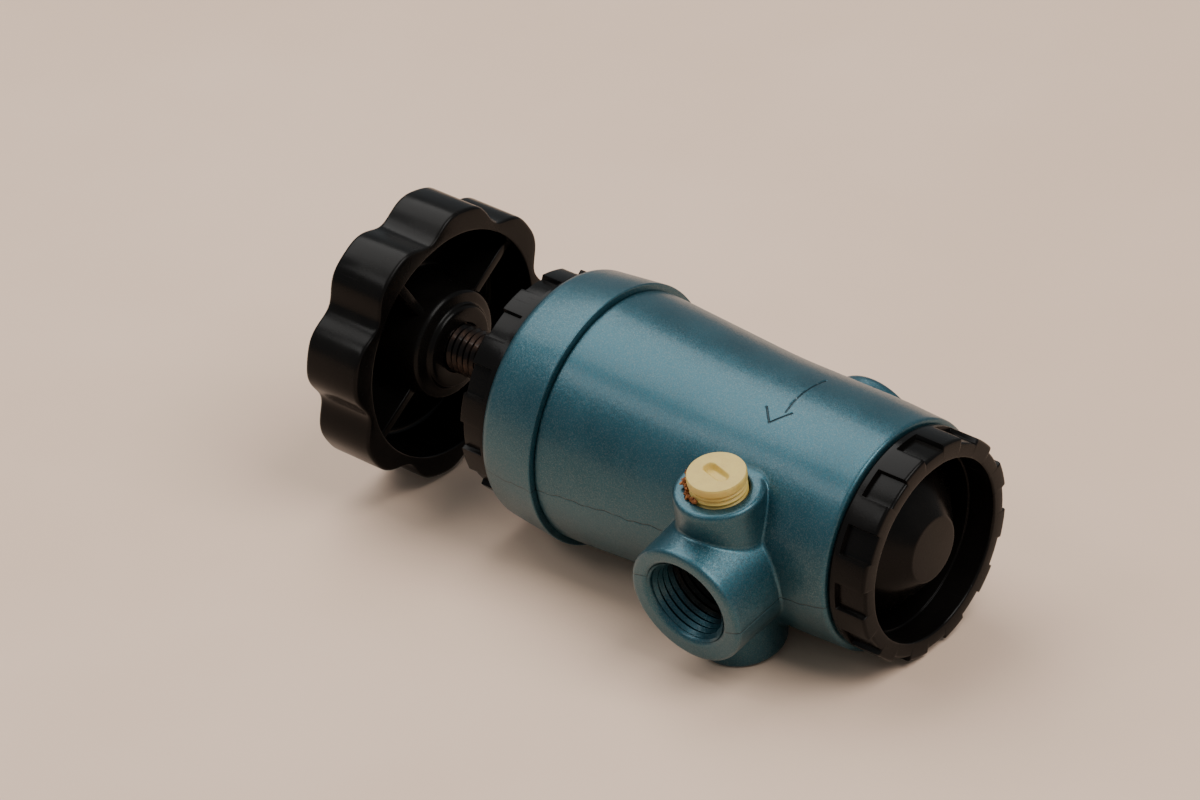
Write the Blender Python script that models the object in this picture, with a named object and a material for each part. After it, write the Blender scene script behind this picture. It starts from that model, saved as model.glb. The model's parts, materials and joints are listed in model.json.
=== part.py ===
"""Diaphragm pressure-reducing valve with a handwheel, lying on its side. Blender 4.5, metres, +Z up.

The pieces are modelled in the valve's own frame, and the empty "valve" lays them down as they rest.
In that frame X is the valve axis and runs from the handwheel to the bottom cap, the outlet port
points to -Y, the upper gauge port to +Z, and the origin is where the port axis crosses the valve axis.
"""
from math import atan2, cos, hypot, pi, radians, sin

import bmesh
import bpy
from mathutils import Matrix, Vector

# Gap between pieces that touch, and the corner size of cast and moulded edges
GAP = 0.0003
EDGE = 0.0005

# Segments around large, middling and small round pieces
LARGE = 40
MIDDLE = 24
SMALL = 16
WHEEL_SEGMENTS = 64

# Rounds of halving that find the angle at which the valve rests
HALVINGS = 40

# Stations along the valve axis
WHEEL_BACK = -0.1213
WHEEL_FRONT = -0.1055
HUB_FRONT = -0.1030
NOSE_END = -0.0795
PANEL_NUT_END = -0.0789
BAND_END = -0.0706
BAND_START = -0.0540
BODY_START = -0.0536
DIAPHRAGM_LEDGE = -0.0200
CHAMBER_FLOOR = -0.0145
SEAT_POCKET_TOP = -0.0100
SEAT_POCKET_FLOOR = -0.0060
CAP_SHOULDER = 0.0170
BODY_END = 0.0282
RING_NUT_END = 0.0382

# Outside of the tapered body, which is straight around its ports, and of the bonnet's band
TAPER_END = -0.0145
PORT_SECTION_END = 0.0170
BODY_START_RADIUS = 0.0310
PORT_SECTION_RADIUS = 0.0286
BODY_END_RADIUS = 0.0279
BAND_RADIUS = 0.0325
BAND_END_RADIUS = 0.0309
BAND_ROUNDING = 0.0021

# Inside of the bonnet
SLEEVE_END = -0.0420
SLEEVE_RADIUS = 0.0256
SLEEVE_BORE = 0.0225
BONNET_SHOULDER = -0.0660
NOSE_BORE = 0.0180
NOSE_WALL = -0.0730

# Bores inside the body
SPRING_BORE = 0.0260
PRESSURE_BORE = 0.0215
THROAT_BORE = 0.0075
SEAT_POCKET_BORE = 0.0105
INLET_BORE = 0.0140
RING_NUT_BORE = 0.0242

# Ports: G 1/2 in line, G 1/4 gauge ports across the outlet's neck
PORT_BORE = 0.0093
PORT_CHAMFER = 0.0111
OUTLET_FACE = 0.0433
OUTLET_RADIUS = 0.0154
OUTLET_ROOT_RADIUS = 0.0159
OUTLET_DROP = 0.0008
INLET_FACE = 0.0299
INLET_RADIUS = 0.0130
INLET_ROOT_RADIUS = 0.0136
INLET_CHAMFER = 0.0102
BOSS_ROOT = 0.0230
OUTLET_FLOOR = 0.0170
PASSAGE_OFFSET = 0.0180
PASSAGE_RADIUS = 0.0035
GAUGE_OFFSET = 0.0263
UPPER_GAUGE_FACE = 0.0221
LOWER_GAUGE_FACE = 0.0237
GAUGE_RADIUS = 0.0106
GAUGE_ROUNDING = 0.0015
GAUGE_BORE = 0.0072
OUTLET_ROUNDING = 0.0020
INLET_ROUNDING = 0.0015

# Blanking plugs of the gauge ports: the upper one stands proud, the lower one is flush
PLUG_START = 0.0145
PLUG_CORE = 0.0038
UPPER_PLUG_CORE_END = 0.0230
UPPER_PLUG_END = 0.0266
LOWER_PLUG_CORE_END = 0.0205
LOWER_PLUG_END = 0.0233
PLUG_SLOT_LENGTH = 0.0068
PLUG_SLOT_WIDTH = 0.0024
UPPER_SLOT_DEPTH = 0.0016
LOWER_SLOT_DEPTH = 0.0015

# Castellated ring nuts
RECESSES = 12
RECESS_PHASE = radians(22)
RECESS_HALF_ANGLE = radians(7.5)
RECESS_DEPTH = 0.0012
NUT_FLANGE = 0.0019
PANEL_NUT_RADIUS = 0.0278
NOSE_RADIUS = 0.0220
LOWER_NUT_RADIUS = 0.0268
LOWER_NUT_MOUTH = 0.0221
LOWER_NUT_SLEEVE_BORE = 0.0217
LOWER_NUT_STEP = 0.0311
LOWER_NUT_SLEEVE_START = 0.0205
CUTTER_RUN_OUT = 0.0020

# Bottom cap, its seal, the diaphragm's clamp ring and the valve seat
CAP_TOP = 0.0375
CAP_TOP_RADIUS = 0.0079
CAP_CONE_BASE = 0.0263
CAP_RADIUS = 0.0212
CAP_FLANGE_FRONT = 0.0202
CAP_FLANGE_RADIUS = 0.0236
CAP_GROOVE_START = 0.0121
CAP_GROOVE_END = 0.0149
CAP_GROOVE_RADIUS = 0.0116
CAP_SPIGOT_END = 0.0080
CAP_SPIGOT_BORE = 0.0090
CAP_GUIDE_BORE = 0.0053
CAP_GUIDE_END = 0.0330
O_RING_RADIUS = 0.01275
O_RING_WIRE = 0.0011
CLAMP_RING_START = -0.0270
CLAMP_RING_END = -0.0220
CLAMP_RING_BORE = 0.0222
CLAMP_SLOT_WIDTH = 0.0030
CLAMP_SLOT_DEPTH = 0.0018
SEAT_TIP = -0.0054
SEAT_BORE = 0.0060
SEAT_TIP_RADIUS = 0.0067
SEAT_BASE_RADIUS = 0.0076

# Bush that the spindle runs in
BUSH_START = -0.0803
BUSH_END = -0.0707
BUSH_RADIUS = 0.0090
BUSH_FLANGE_RADIUS = 0.0112

# Handwheel
WHEEL_RADIUS = 0.0343
LOBES = 8
LOBE_PHASE = radians(24)
LOBE_DEPTH = 0.0039
LOBE_SHARPNESS = 2.06
WHEEL_CAVITY = 0.0286
WEB_THICKNESS = 0.0030
HUB_RADIUS = 0.0143
HUB_TIP_RADIUS = 0.0108
HUB_POCKET = 0.0105
RIBS = 4
RIB_THICKNESS = 0.0026
RIB_FRONT = -0.1080
WHEEL_FRONT_CHAMFER = 0.0008
WHEEL_BACK_CHAMFER = 0.0012
HUB_FLOOR = -0.1125
HUB_CONE_BASE = -0.1065
RIB_OVERLAP = 0.0010

# Washer, nut and cover in the hub's pocket
WASHER_START = -0.1140
WASHER_END = -0.1128
WASHER_RADIUS = 0.0095
HUB_NUT_START = -0.1189
HUB_NUT_END = -0.1143
HUB_NUT_FLATS = 0.0160
COVER_START = -0.1212
COVER_END = -0.1195
COVER_CHAMFER = 0.0006

# Spindle and springs
SPINDLE_RADIUS = 0.0060
SPINDLE_END = -0.0713
SPINDLE_SHOULDER = -0.1047
SPINDLE_TAIL_RADIUS = 0.0050
SPINDLE_TAIL_END = -0.1192
SPINDLE_TIP_RADIUS = 0.0040
SPINDLE_TIP_LENGTH = 0.0020
RANGE_SPRING_RADIUS = 0.0135
RANGE_SPRING_WIRE = 0.0018
RANGE_SPRING_TURNS = 6.5
POPPET_SPRING_RADIUS = 0.0070
POPPET_SPRING_WIRE = 0.00065
POPPET_SPRING_TURNS = 6.0
SPRING_PLATE_FACE = -0.0650
CAP_SPRING_SEAT = 0.0160
SPRING_PILOT_RADIUS = 0.0112
SPRING_PILOT_LENGTH = 0.0035
SPRING_PLATE_RADIUS = 0.0168
SPRING_PLATE_THICKNESS = 0.0030
BALL_RADIUS = 0.0024
BALL_OFFSET = 0.0036
BALL_SOCKET_RADIUS = 0.0028
BALL_SOCKET_FLOOR = 0.0009

# Diaphragm and its plate
DIAPHRAGM_MIDDLE = -0.0210
DIAPHRAGM_HALF_THICKNESS = 0.0007
DIAPHRAGM_RADIUS = 0.0256
ROLL_INNER_RADIUS = 0.0165
ROLL_OUTER_RADIUS = 0.0210
ROLL_HEIGHT = 0.0016
DIAPHRAGM_PLATE_FACE = -0.0245
DIAPHRAGM_PLATE_BACK = -0.0220
DIAPHRAGM_PLATE_RADIUS = 0.0160
DIAPHRAGM_PILOT_LENGTH = 0.0030
DIAPHRAGM_WASHER_START = -0.0200
DIAPHRAGM_WASHER_END = -0.0188
DIAPHRAGM_WASHER_RADIUS = 0.0140
DIAPHRAGM_NUT_START = -0.0307
DIAPHRAGM_NUT_END = -0.0278
DIAPHRAGM_NUT_FLATS = 0.0080

# Stem and poppet
STEM_RADIUS = 0.0020
STEM_START = -0.0315
STEM_COLLAR_START = -0.0185
STEM_COLLAR_END = -0.0170
STEM_COLLAR_RADIUS = 0.0040
STEM_END = -0.0013
POPPET_RADIUS = 0.0098
POPPET_FRONT = -0.0047
POPPET_POCKET_FLOOR = -0.0030
POPPET_POCKET_RADIUS = 0.0090
POPPET_SOCKET_FLOOR = -0.0010
POPPET_BACK = 0.0020
POPPET_TAIL_RADIUS = 0.0050
POPPET_TAIL_END = 0.0200
SEAL_START = -0.0051
SEAL_END = -0.0033
SEAL_RADIUS = 0.0087

# Steps along a coil's turn, and sides of its wire
RANGE_SPRING_STEPS = 12
POPPET_SPRING_STEPS = 10
WIRE_SIDES = 6
CLOSED_COIL_RISE = 2.15


def material(name, colour, roughness, metallic=0.0):
    made = bpy.data.materials.new(name)
    made.use_nodes = True
    shader = made.node_tree.nodes["Principled BSDF"]
    shader.inputs["Base Color"].default_value = (*colour, 1.0)
    shader.inputs["Roughness"].default_value = roughness
    shader.inputs["Metallic"].default_value = metallic
    return made


def empty(name, parent=None):
    made = bpy.data.objects.new(name, None)
    bpy.context.collection.objects.link(made)
    made.parent = parent
    return made


def finish(name, shape, parent, look):
    """Close a bmesh into a smooth-shaded object under its parent."""
    bmesh.ops.recalc_face_normals(shape, faces=shape.faces)
    mesh = bpy.data.meshes.new(name)
    shape.to_mesh(mesh)
    shape.free()
    mesh.shade_smooth()
    mesh.set_sharp_from_angle(angle=radians(30))
    if look:
        mesh.materials.append(look)
    made = bpy.data.objects.new(name, mesh)
    bpy.context.collection.objects.link(made)
    made.parent = parent
    return made


def ring(shape, station, radius, segments):
    """One circle of the lathe, or one point where the outline meets the axis."""
    if not callable(radius) and radius == 0:
        return [shape.verts.new((station, 0, 0))]
    made = []
    for step in range(segments):
        angle = 2 * pi * step / segments
        reach = radius(angle) if callable(radius) else radius
        made.append(shape.verts.new((station, reach * cos(angle), reach * sin(angle))))
    return made


def bridge(shape, first, second):
    """Faces between two neighbouring rings of the lathe."""
    count = max(len(first), len(second))
    for step in range(count if len(first) + len(second) > 2 else 0):
        after = (step + 1) % count
        corners = [first[step % len(first)], first[after % len(first)]]
        corners += [second[after % len(second)], second[step % len(second)]]
        shape.faces.new(dict.fromkeys(corners))


def turned(name, outline, parent, look=None, segments=MIDDLE):
    """Turn a closed outline of (station, radius) points about X. A radius can be a function of the angle."""
    shape = bmesh.new()
    rings = [ring(shape, station, radius, segments) for station, radius in outline]
    for first, second in zip(rings, rings[1:] + rings[:1]):
        bridge(shape, first, second)
    return finish(name, shape, parent, look)


def collar(name, start, end, hole, radius, parent, look, segments=MIDDLE):
    """Plain collar along X. Its radius can be a function of the angle."""
    outline = [(start, hole), (start, radius), (end, radius), (end, hole)]
    return turned(name, outline, parent, look, segments)


def arc(station, radius, size, start, end, steps=4):
    """Outline points on a round corner, with angles in degrees from +X towards +radius."""
    angles = [radians(start + (end - start) * step / steps) for step in range(steps + 1)]
    return [(station + size * cos(angle), radius + size * sin(angle)) for angle in angles]


def box(name, low, high, parent, look=None):
    shape = bmesh.new()
    low, high = Vector(low), Vector(high)
    centre, size = (low + high) / 2, high - low
    bmesh.ops.create_cube(shape, size=1, matrix=Matrix.Translation(centre) @ Matrix.Diagonal((*size, 1)))
    return finish(name, shape, parent, look)


def combine(target, tool, operation):
    """Join a tool to a target, or cut it away."""
    step = target.modifiers.new(tool.name, "BOOLEAN")
    step.object = tool
    step.operation = operation
    step.solver = "EXACT"
    tool.hide_render = True
    tool.display_type = "WIRE"


def hexagon(flats):
    """Radius of a hexagon as a function of the angle."""
    return lambda angle: flats / 2 / cos(angle % (pi / 3) - pi / 6)


def wheel_edge(inset=0.0):
    """Radius of the lobed handwheel as a function of the angle."""
    def radius(angle):
        valley = 0.5 * (1 - cos(LOBES * (angle - LOBE_PHASE)))
        return WHEEL_RADIUS - inset - LOBE_DEPTH * valley ** LOBE_SHARPNESS
    return radius


# ---- Housing ----

def boss(name, root, face, root_radius, radius, rounding, parent):
    """Solid round boss along X, with a rounded rim at its face."""
    outline = [(root, 0), (root, root_radius)]
    outline += reversed(arc(face - rounding, radius - rounding, rounding, 0, 90, 3))
    outline += [(face, 0)]
    return turned(name, outline, parent, segments=MIDDLE)


def port_cutter(name, floor, face, chamfer, parent):
    """Bore with a chamfered mouth, along X."""
    run = chamfer - PORT_BORE
    outline = [(floor, 0), (floor, PORT_BORE), (face - run, PORT_BORE)]
    outline += [(face + EDGE, chamfer + EDGE), (face + EDGE, 0)]
    return turned(name, outline, parent, segments=MIDDLE)


def valve_body(parent, look):
    body = turned("valve_body", [
        (BODY_START, SPRING_BORE),
        (BODY_START, BODY_START_RADIUS - EDGE),
        (BODY_START + EDGE, BODY_START_RADIUS),
        (TAPER_END, PORT_SECTION_RADIUS),
        (PORT_SECTION_END, PORT_SECTION_RADIUS),
        (BODY_END - EDGE, BODY_END_RADIUS),
        (BODY_END, BODY_END_RADIUS - EDGE),
        (BODY_END, RING_NUT_BORE),
        (CAP_SHOULDER, RING_NUT_BORE),
        (CAP_SHOULDER, INLET_BORE),
        (SEAT_POCKET_FLOOR, INLET_BORE),
        (SEAT_POCKET_FLOOR, SEAT_POCKET_BORE),
        (SEAT_POCKET_TOP, SEAT_POCKET_BORE),
        (SEAT_POCKET_TOP, THROAT_BORE),
        (CHAMBER_FLOOR, THROAT_BORE),
        (CHAMBER_FLOOR, PRESSURE_BORE),
        (DIAPHRAGM_LEDGE, PRESSURE_BORE),
        (DIAPHRAGM_LEDGE, SPRING_BORE),
    ], parent, look, LARGE)

    outlet = boss("outlet_boss", BOSS_ROOT, OUTLET_FACE, OUTLET_ROOT_RADIUS, OUTLET_RADIUS,
                  OUTLET_ROUNDING, parent)
    outlet.rotation_euler = (0, 0, -pi / 2)
    outlet.location = (0, 0, -OUTLET_DROP)
    inlet = boss("inlet_boss", BOSS_ROOT, INLET_FACE, INLET_ROOT_RADIUS, INLET_RADIUS,
                 INLET_ROUNDING, parent)
    inlet.rotation_euler = (0, 0, pi / 2)
    outline = [(UPPER_GAUGE_FACE, 0)]
    outline += arc(UPPER_GAUGE_FACE - GAUGE_ROUNDING, GAUGE_RADIUS - GAUGE_ROUNDING, GAUGE_ROUNDING, 0, 90, 3)
    outline += arc(GAUGE_ROUNDING - LOWER_GAUGE_FACE, GAUGE_RADIUS - GAUGE_ROUNDING, GAUGE_ROUNDING, 90, 180, 3)
    outline += [(-LOWER_GAUGE_FACE, 0)]
    gauge = turned("gauge_bosses", outline, parent, segments=MIDDLE)
    gauge.rotation_euler = (0, -pi / 2, 0)
    gauge.location = (0, -GAUGE_OFFSET, 0)
    for solid in (outlet, inlet, gauge):
        combine(body, solid, "UNION")

    outlet_bore = port_cutter("outlet_bore", OUTLET_FLOOR, OUTLET_FACE, PORT_CHAMFER, parent)
    outlet_bore.rotation_euler = (0, 0, -pi / 2)
    inlet_bore = port_cutter("inlet_bore", INLET_BORE / 2, INLET_FACE, INLET_CHAMFER, parent)
    inlet_bore.rotation_euler = (0, 0, pi / 2)
    low, high = -LOWER_GAUGE_FACE - EDGE, UPPER_GAUGE_FACE + EDGE
    outline = [(low, 0), (low, GAUGE_BORE), (high, GAUGE_BORE), (high, 0)]
    gauge_bore = turned("gauge_bore", outline, parent, segments=SMALL)
    gauge_bore.rotation_euler = (0, -pi / 2, 0)
    gauge_bore.location = (0, -GAUGE_OFFSET, 0)
    start, end = CHAMBER_FLOOR - EDGE, SEAT_POCKET_FLOOR - 2 * EDGE
    outline = [(start, 0), (start, PASSAGE_RADIUS), (end, PASSAGE_RADIUS), (end, 0)]
    passage = turned("outlet_passage", outline, parent, segments=SMALL)
    passage.location = (0, -PASSAGE_OFFSET, 0)
    for cutter in (outlet_bore, inlet_bore, gauge_bore, passage):
        combine(body, cutter, "DIFFERENCE")


def bonnet(parent, look):
    """Teal band with a threaded sleeve inside the body and a threaded nose through the panel nut."""
    corner = (BAND_END + BAND_ROUNDING, BAND_END_RADIUS - BAND_ROUNDING)
    turned("bonnet", [
        (SLEEVE_END, SLEEVE_BORE),
        (SLEEVE_END, SLEEVE_RADIUS),
        (BAND_START, SLEEVE_RADIUS),
        (BAND_START, BAND_RADIUS - EDGE),
        (BAND_START - EDGE, BAND_RADIUS),
        *arc(*corner, BAND_ROUNDING, 90, 180, 3),
        (BAND_END, NOSE_RADIUS),
        (NOSE_END + EDGE, NOSE_RADIUS),
        (NOSE_END, NOSE_RADIUS - EDGE),
        (NOSE_END, BUSH_RADIUS + GAP),
        (NOSE_WALL, BUSH_RADIUS + GAP),
        (NOSE_WALL, NOSE_BORE),
        (BONNET_SHOULDER, NOSE_BORE),
        (BONNET_SHOULDER, SLEEVE_BORE),
    ], parent, look, LARGE)


def recess_cutter(name, start, end, radius, parent):
    """Twelve wedge blocks in one mesh, which cut the grip recesses of a ring nut."""
    shape = bmesh.new()
    for index in range(RECESSES):
        middle = RECESS_PHASE + 2 * pi * index / RECESSES
        spread = [middle + RECESS_HALF_ANGLE * share for share in (-1, 0, 1)]
        outline = [(radius - RECESS_DEPTH, angle) for angle in spread]
        outline += [(radius + CUTTER_RUN_OUT, angle) for angle in reversed(spread)]
        sides = []
        for station in (start, end):
            points = [(station, reach * cos(angle), reach * sin(angle)) for reach, angle in outline]
            sides.append([shape.verts.new(point) for point in points])
        shape.faces.new(sides[0])
        shape.faces.new(reversed(sides[1]))
        bridge(shape, *sides)
    return finish(name, shape, parent, None)


def panel_ring_nut(parent, look):
    start, bore = BAND_END - GAP, NOSE_RADIUS + GAP
    nut = turned("panel_ring_nut", [
        (start, bore),
        (start, PANEL_NUT_RADIUS - EDGE),
        (start - EDGE, PANEL_NUT_RADIUS),
        (PANEL_NUT_END + EDGE, PANEL_NUT_RADIUS),
        (PANEL_NUT_END, PANEL_NUT_RADIUS - EDGE),
        (PANEL_NUT_END, bore),
    ], parent, look, LARGE)
    end = PANEL_NUT_END - CUTTER_RUN_OUT
    cutter = recess_cutter("panel_nut_recesses", start - NUT_FLANGE, end, PANEL_NUT_RADIUS, parent)
    combine(nut, cutter, "DIFFERENCE")


def lower_ring_nut(parent, look):
    start, sleeve = BODY_END + GAP, RING_NUT_BORE - GAP
    nut = turned("lower_ring_nut", [
        (start, sleeve),
        (start, LOWER_NUT_RADIUS - EDGE),
        (start + EDGE, LOWER_NUT_RADIUS),
        (RING_NUT_END - EDGE, LOWER_NUT_RADIUS),
        (RING_NUT_END, LOWER_NUT_RADIUS - EDGE),
        (RING_NUT_END, LOWER_NUT_MOUTH + EDGE),
        (RING_NUT_END - EDGE, LOWER_NUT_MOUTH),
        (LOWER_NUT_STEP, LOWER_NUT_MOUTH),
        (LOWER_NUT_STEP, LOWER_NUT_SLEEVE_BORE),
        (LOWER_NUT_SLEEVE_START, LOWER_NUT_SLEEVE_BORE),
        (LOWER_NUT_SLEEVE_START, sleeve),
    ], parent, look, LARGE)
    end = RING_NUT_END + CUTTER_RUN_OUT
    cutter = recess_cutter("lower_nut_recesses", start + NUT_FLANGE, end, LOWER_NUT_RADIUS, parent)
    combine(nut, cutter, "DIFFERENCE")


def bottom_cap(parent, look):
    """Conical cap with a flange under the ring nut and a spigot that guides the poppet."""
    turned("bottom_cap", [
        (CAP_TOP, 0),
        (CAP_TOP, CAP_TOP_RADIUS),
        (CAP_CONE_BASE, CAP_RADIUS),
        (CAP_FLANGE_FRONT, CAP_RADIUS),
        (CAP_FLANGE_FRONT, CAP_FLANGE_RADIUS),
        (CAP_SHOULDER + GAP, CAP_FLANGE_RADIUS),
        (CAP_SHOULDER + GAP, INLET_BORE - GAP),
        (CAP_GROOVE_END, INLET_BORE - GAP),
        (CAP_GROOVE_END, CAP_GROOVE_RADIUS),
        (CAP_GROOVE_START, CAP_GROOVE_RADIUS),
        (CAP_GROOVE_START, INLET_BORE - GAP),
        (CAP_SPIGOT_END, INLET_BORE - GAP),
        (CAP_SPIGOT_END, CAP_SPIGOT_BORE),
        (CAP_SPRING_SEAT, CAP_SPIGOT_BORE),
        (CAP_SPRING_SEAT, CAP_GUIDE_BORE),
        (CAP_GUIDE_END, CAP_GUIDE_BORE),
        (CAP_GUIDE_END, 0),
    ], parent, look, MIDDLE)


def cap_o_ring(parent, look):
    middle = (CAP_GROOVE_START + CAP_GROOVE_END) / 2
    turned("cap_o_ring", arc(middle, O_RING_RADIUS, O_RING_WIRE, 0, 300, 5), parent, look, MIDDLE)


def diaphragm_clamp_ring(parent, look):
    clamp = turned("diaphragm_clamp_ring", [
        (CLAMP_RING_START, CLAMP_RING_BORE),
        (CLAMP_RING_START, SPRING_BORE - GAP),
        (CLAMP_RING_END, SPRING_BORE - GAP),
        (CLAMP_RING_END, CLAMP_RING_BORE),
    ], parent, look, MIDDLE)
    low = (CLAMP_RING_START - CUTTER_RUN_OUT, -CLAMP_SLOT_WIDTH / 2, -SPRING_BORE - CUTTER_RUN_OUT)
    high = (CLAMP_RING_START + CLAMP_SLOT_DEPTH, CLAMP_SLOT_WIDTH / 2, SPRING_BORE + CUTTER_RUN_OUT)
    combine(clamp, box("spanner_slot", low, high, parent), "DIFFERENCE")


def seat_insert(parent, look):
    turned("seat_insert", [
        (SEAT_POCKET_TOP + GAP, SEAT_BORE),
        (SEAT_TIP, SEAT_BORE),
        (SEAT_TIP, SEAT_TIP_RADIUS),
        (SEAT_POCKET_FLOOR, SEAT_BASE_RADIUS),
        (SEAT_POCKET_FLOOR, SEAT_POCKET_BORE - GAP),
        (SEAT_POCKET_TOP + GAP, SEAT_POCKET_BORE - GAP),
    ], parent, look, MIDDLE)


def spindle_bush(parent, look):
    turned("spindle_bush", [
        (BUSH_END, SPINDLE_RADIUS + GAP),
        (BUSH_END, BUSH_FLANGE_RADIUS),
        (NOSE_WALL + GAP, BUSH_FLANGE_RADIUS),
        (NOSE_WALL + GAP, BUSH_RADIUS),
        (BUSH_START, BUSH_RADIUS),
        (BUSH_START, SPINDLE_RADIUS + GAP),
    ], parent, look, MIDDLE)


def gauge_plugs(parent, look):
    """Hollow blanking plugs with a screwdriver slot in their outer face."""
    upper = turned("upper_gauge_plug", [
        (UPPER_PLUG_CORE_END, 0),
        (UPPER_PLUG_CORE_END, PLUG_CORE),
        (PLUG_START, PLUG_CORE),
        (PLUG_START, GAUGE_BORE - GAP),
        (UPPER_PLUG_END - GAP, GAUGE_BORE - GAP),
        (UPPER_PLUG_END, GAUGE_BORE - 2 * GAP),
        (UPPER_PLUG_END, 0),
    ], parent, look, SMALL)
    upper.rotation_euler = (0, -pi / 2, 0)
    upper.location = (0, -GAUGE_OFFSET, 0)
    low = (-PLUG_SLOT_LENGTH / 2, -GAUGE_OFFSET - PLUG_SLOT_WIDTH / 2, UPPER_PLUG_END - UPPER_SLOT_DEPTH)
    high = (PLUG_SLOT_LENGTH / 2, -GAUGE_OFFSET + PLUG_SLOT_WIDTH / 2, UPPER_PLUG_END + CUTTER_RUN_OUT)
    combine(upper, box("upper_plug_slot", low, high, parent), "DIFFERENCE")

    lower = turned("lower_gauge_plug", [
        (LOWER_PLUG_CORE_END, 0),
        (LOWER_PLUG_CORE_END, PLUG_CORE),
        (PLUG_START, PLUG_CORE),
        (PLUG_START, GAUGE_BORE - GAP),
        (LOWER_PLUG_END - GAP, GAUGE_BORE - GAP),
        (LOWER_PLUG_END, GAUGE_BORE - 2 * GAP),
        (LOWER_PLUG_END, 0),
    ], parent, look, SMALL)
    lower.rotation_euler = (0, pi / 2, 0)
    lower.location = (0, -GAUGE_OFFSET, 0)
    low = (-PLUG_SLOT_LENGTH / 2, -GAUGE_OFFSET - PLUG_SLOT_WIDTH / 2, -LOWER_PLUG_END - CUTTER_RUN_OUT)
    high = (PLUG_SLOT_LENGTH / 2, -GAUGE_OFFSET + PLUG_SLOT_WIDTH / 2, -LOWER_PLUG_END + LOWER_SLOT_DEPTH)
    combine(lower, box("lower_plug_slot", low, high, parent), "DIFFERENCE")


# ---- Handwheel and spindle ----

def handwheel(parent, look):
    web = WHEEL_BACK + WEB_THICKNESS
    wheel = turned("handwheel", [
        (WHEEL_FRONT, WHEEL_CAVITY + GAP),
        (WHEEL_FRONT, wheel_edge(WHEEL_FRONT_CHAMFER)),
        (WHEEL_FRONT - WHEEL_FRONT_CHAMFER, wheel_edge()),
        (WHEEL_BACK + WHEEL_BACK_CHAMFER, wheel_edge()),
        (WHEEL_BACK, wheel_edge(WHEEL_BACK_CHAMFER)),
        (WHEEL_BACK, HUB_POCKET),
        (HUB_FLOOR, HUB_POCKET),
        (HUB_FLOOR, SPINDLE_TAIL_RADIUS + GAP),
        (SPINDLE_SHOULDER - GAP, SPINDLE_TAIL_RADIUS + GAP),
        (SPINDLE_SHOULDER - GAP, SPINDLE_RADIUS + GAP),
        (HUB_FRONT, SPINDLE_RADIUS + GAP),
        (HUB_FRONT, HUB_TIP_RADIUS - EDGE),
        (HUB_FRONT - EDGE, HUB_TIP_RADIUS),
        (HUB_CONE_BASE, HUB_RADIUS),
        (web, HUB_RADIUS),
        (web, WHEEL_CAVITY),
    ], parent, look, WHEEL_SEGMENTS)
    for index in range(RIBS):
        low = (web - RIB_OVERLAP, HUB_RADIUS - RIB_OVERLAP, -RIB_THICKNESS / 2)
        high = (RIB_FRONT, WHEEL_CAVITY + RIB_OVERLAP, RIB_THICKNESS / 2)
        rib = box(f"wheel_rib_{index + 1}", low, high, parent)
        rib.rotation_euler = (LOBE_PHASE + 2 * pi * index / RIBS, 0, 0)
        combine(wheel, rib, "UNION")


def spindle(parent, look):
    turned("spindle", [
        (SPINDLE_END, 0),
        (SPINDLE_END, SPINDLE_TIP_RADIUS),
        (SPINDLE_END - SPINDLE_TIP_LENGTH, SPINDLE_RADIUS),
        (SPINDLE_SHOULDER, SPINDLE_RADIUS),
        (SPINDLE_SHOULDER, SPINDLE_TAIL_RADIUS),
        (SPINDLE_TAIL_END + GAP, SPINDLE_TAIL_RADIUS),
        (SPINDLE_TAIL_END, SPINDLE_TAIL_RADIUS - GAP),
        (SPINDLE_TAIL_END, 0),
    ], parent, look, MIDDLE)


def hub_fixings(parent, steel, plastic):
    """Washer, nut and cover in the pocket at the back of the handwheel."""
    hole = SPINDLE_TAIL_RADIUS + GAP
    collar("hub_washer", WASHER_START, WASHER_END, hole, WASHER_RADIUS, parent, steel, SMALL)
    collar("hub_nut", HUB_NUT_START, HUB_NUT_END, hole, hexagon(HUB_NUT_FLATS), parent, steel, SMALL)
    rim = HUB_POCKET - GAP
    turned("hub_cover", [
        (COVER_END, 0),
        (COVER_END, rim),
        (COVER_START + COVER_CHAMFER, rim),
        (COVER_START, rim - COVER_CHAMFER),
        (COVER_START, 0),
    ], parent, plastic, MIDDLE)


# ---- Spring load ----

def coil(name, start, end, radius, wire, turns, steps_per_turn, parent, look):
    """Round-wire compression spring along X with one closed coil at each end."""
    shape = bmesh.new()
    count = int(turns * steps_per_turn)
    closed = CLOSED_COIL_RISE * wire
    rise = (end - start - 2 * wire - 2 * closed) / (turns - 2)
    rings = []
    for step in range(count + 1):
        turn = turns * step / count
        advance = closed * min(turn, 1) + rise * min(max(turn - 1, 0), turns - 2)
        advance += closed * max(turn - turns + 1, 0)
        angle = 2 * pi * turn
        outward = Vector((0, cos(angle), sin(angle)))
        centre = Vector((start + wire + advance, 0, 0)) + radius * outward
        section = []
        for side in range(WIRE_SIDES):
            bearing = 2 * pi * side / WIRE_SIDES
            away = cos(bearing) * outward + sin(bearing) * Vector((1, 0, 0))
            section.append(shape.verts.new(centre + wire * away))
        rings.append(section)
    for first, second in zip(rings, rings[1:]):
        bridge(shape, first, second)
    shape.faces.new(rings[0])
    shape.faces.new(rings[-1])
    return finish(name, shape, parent, look)


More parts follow.
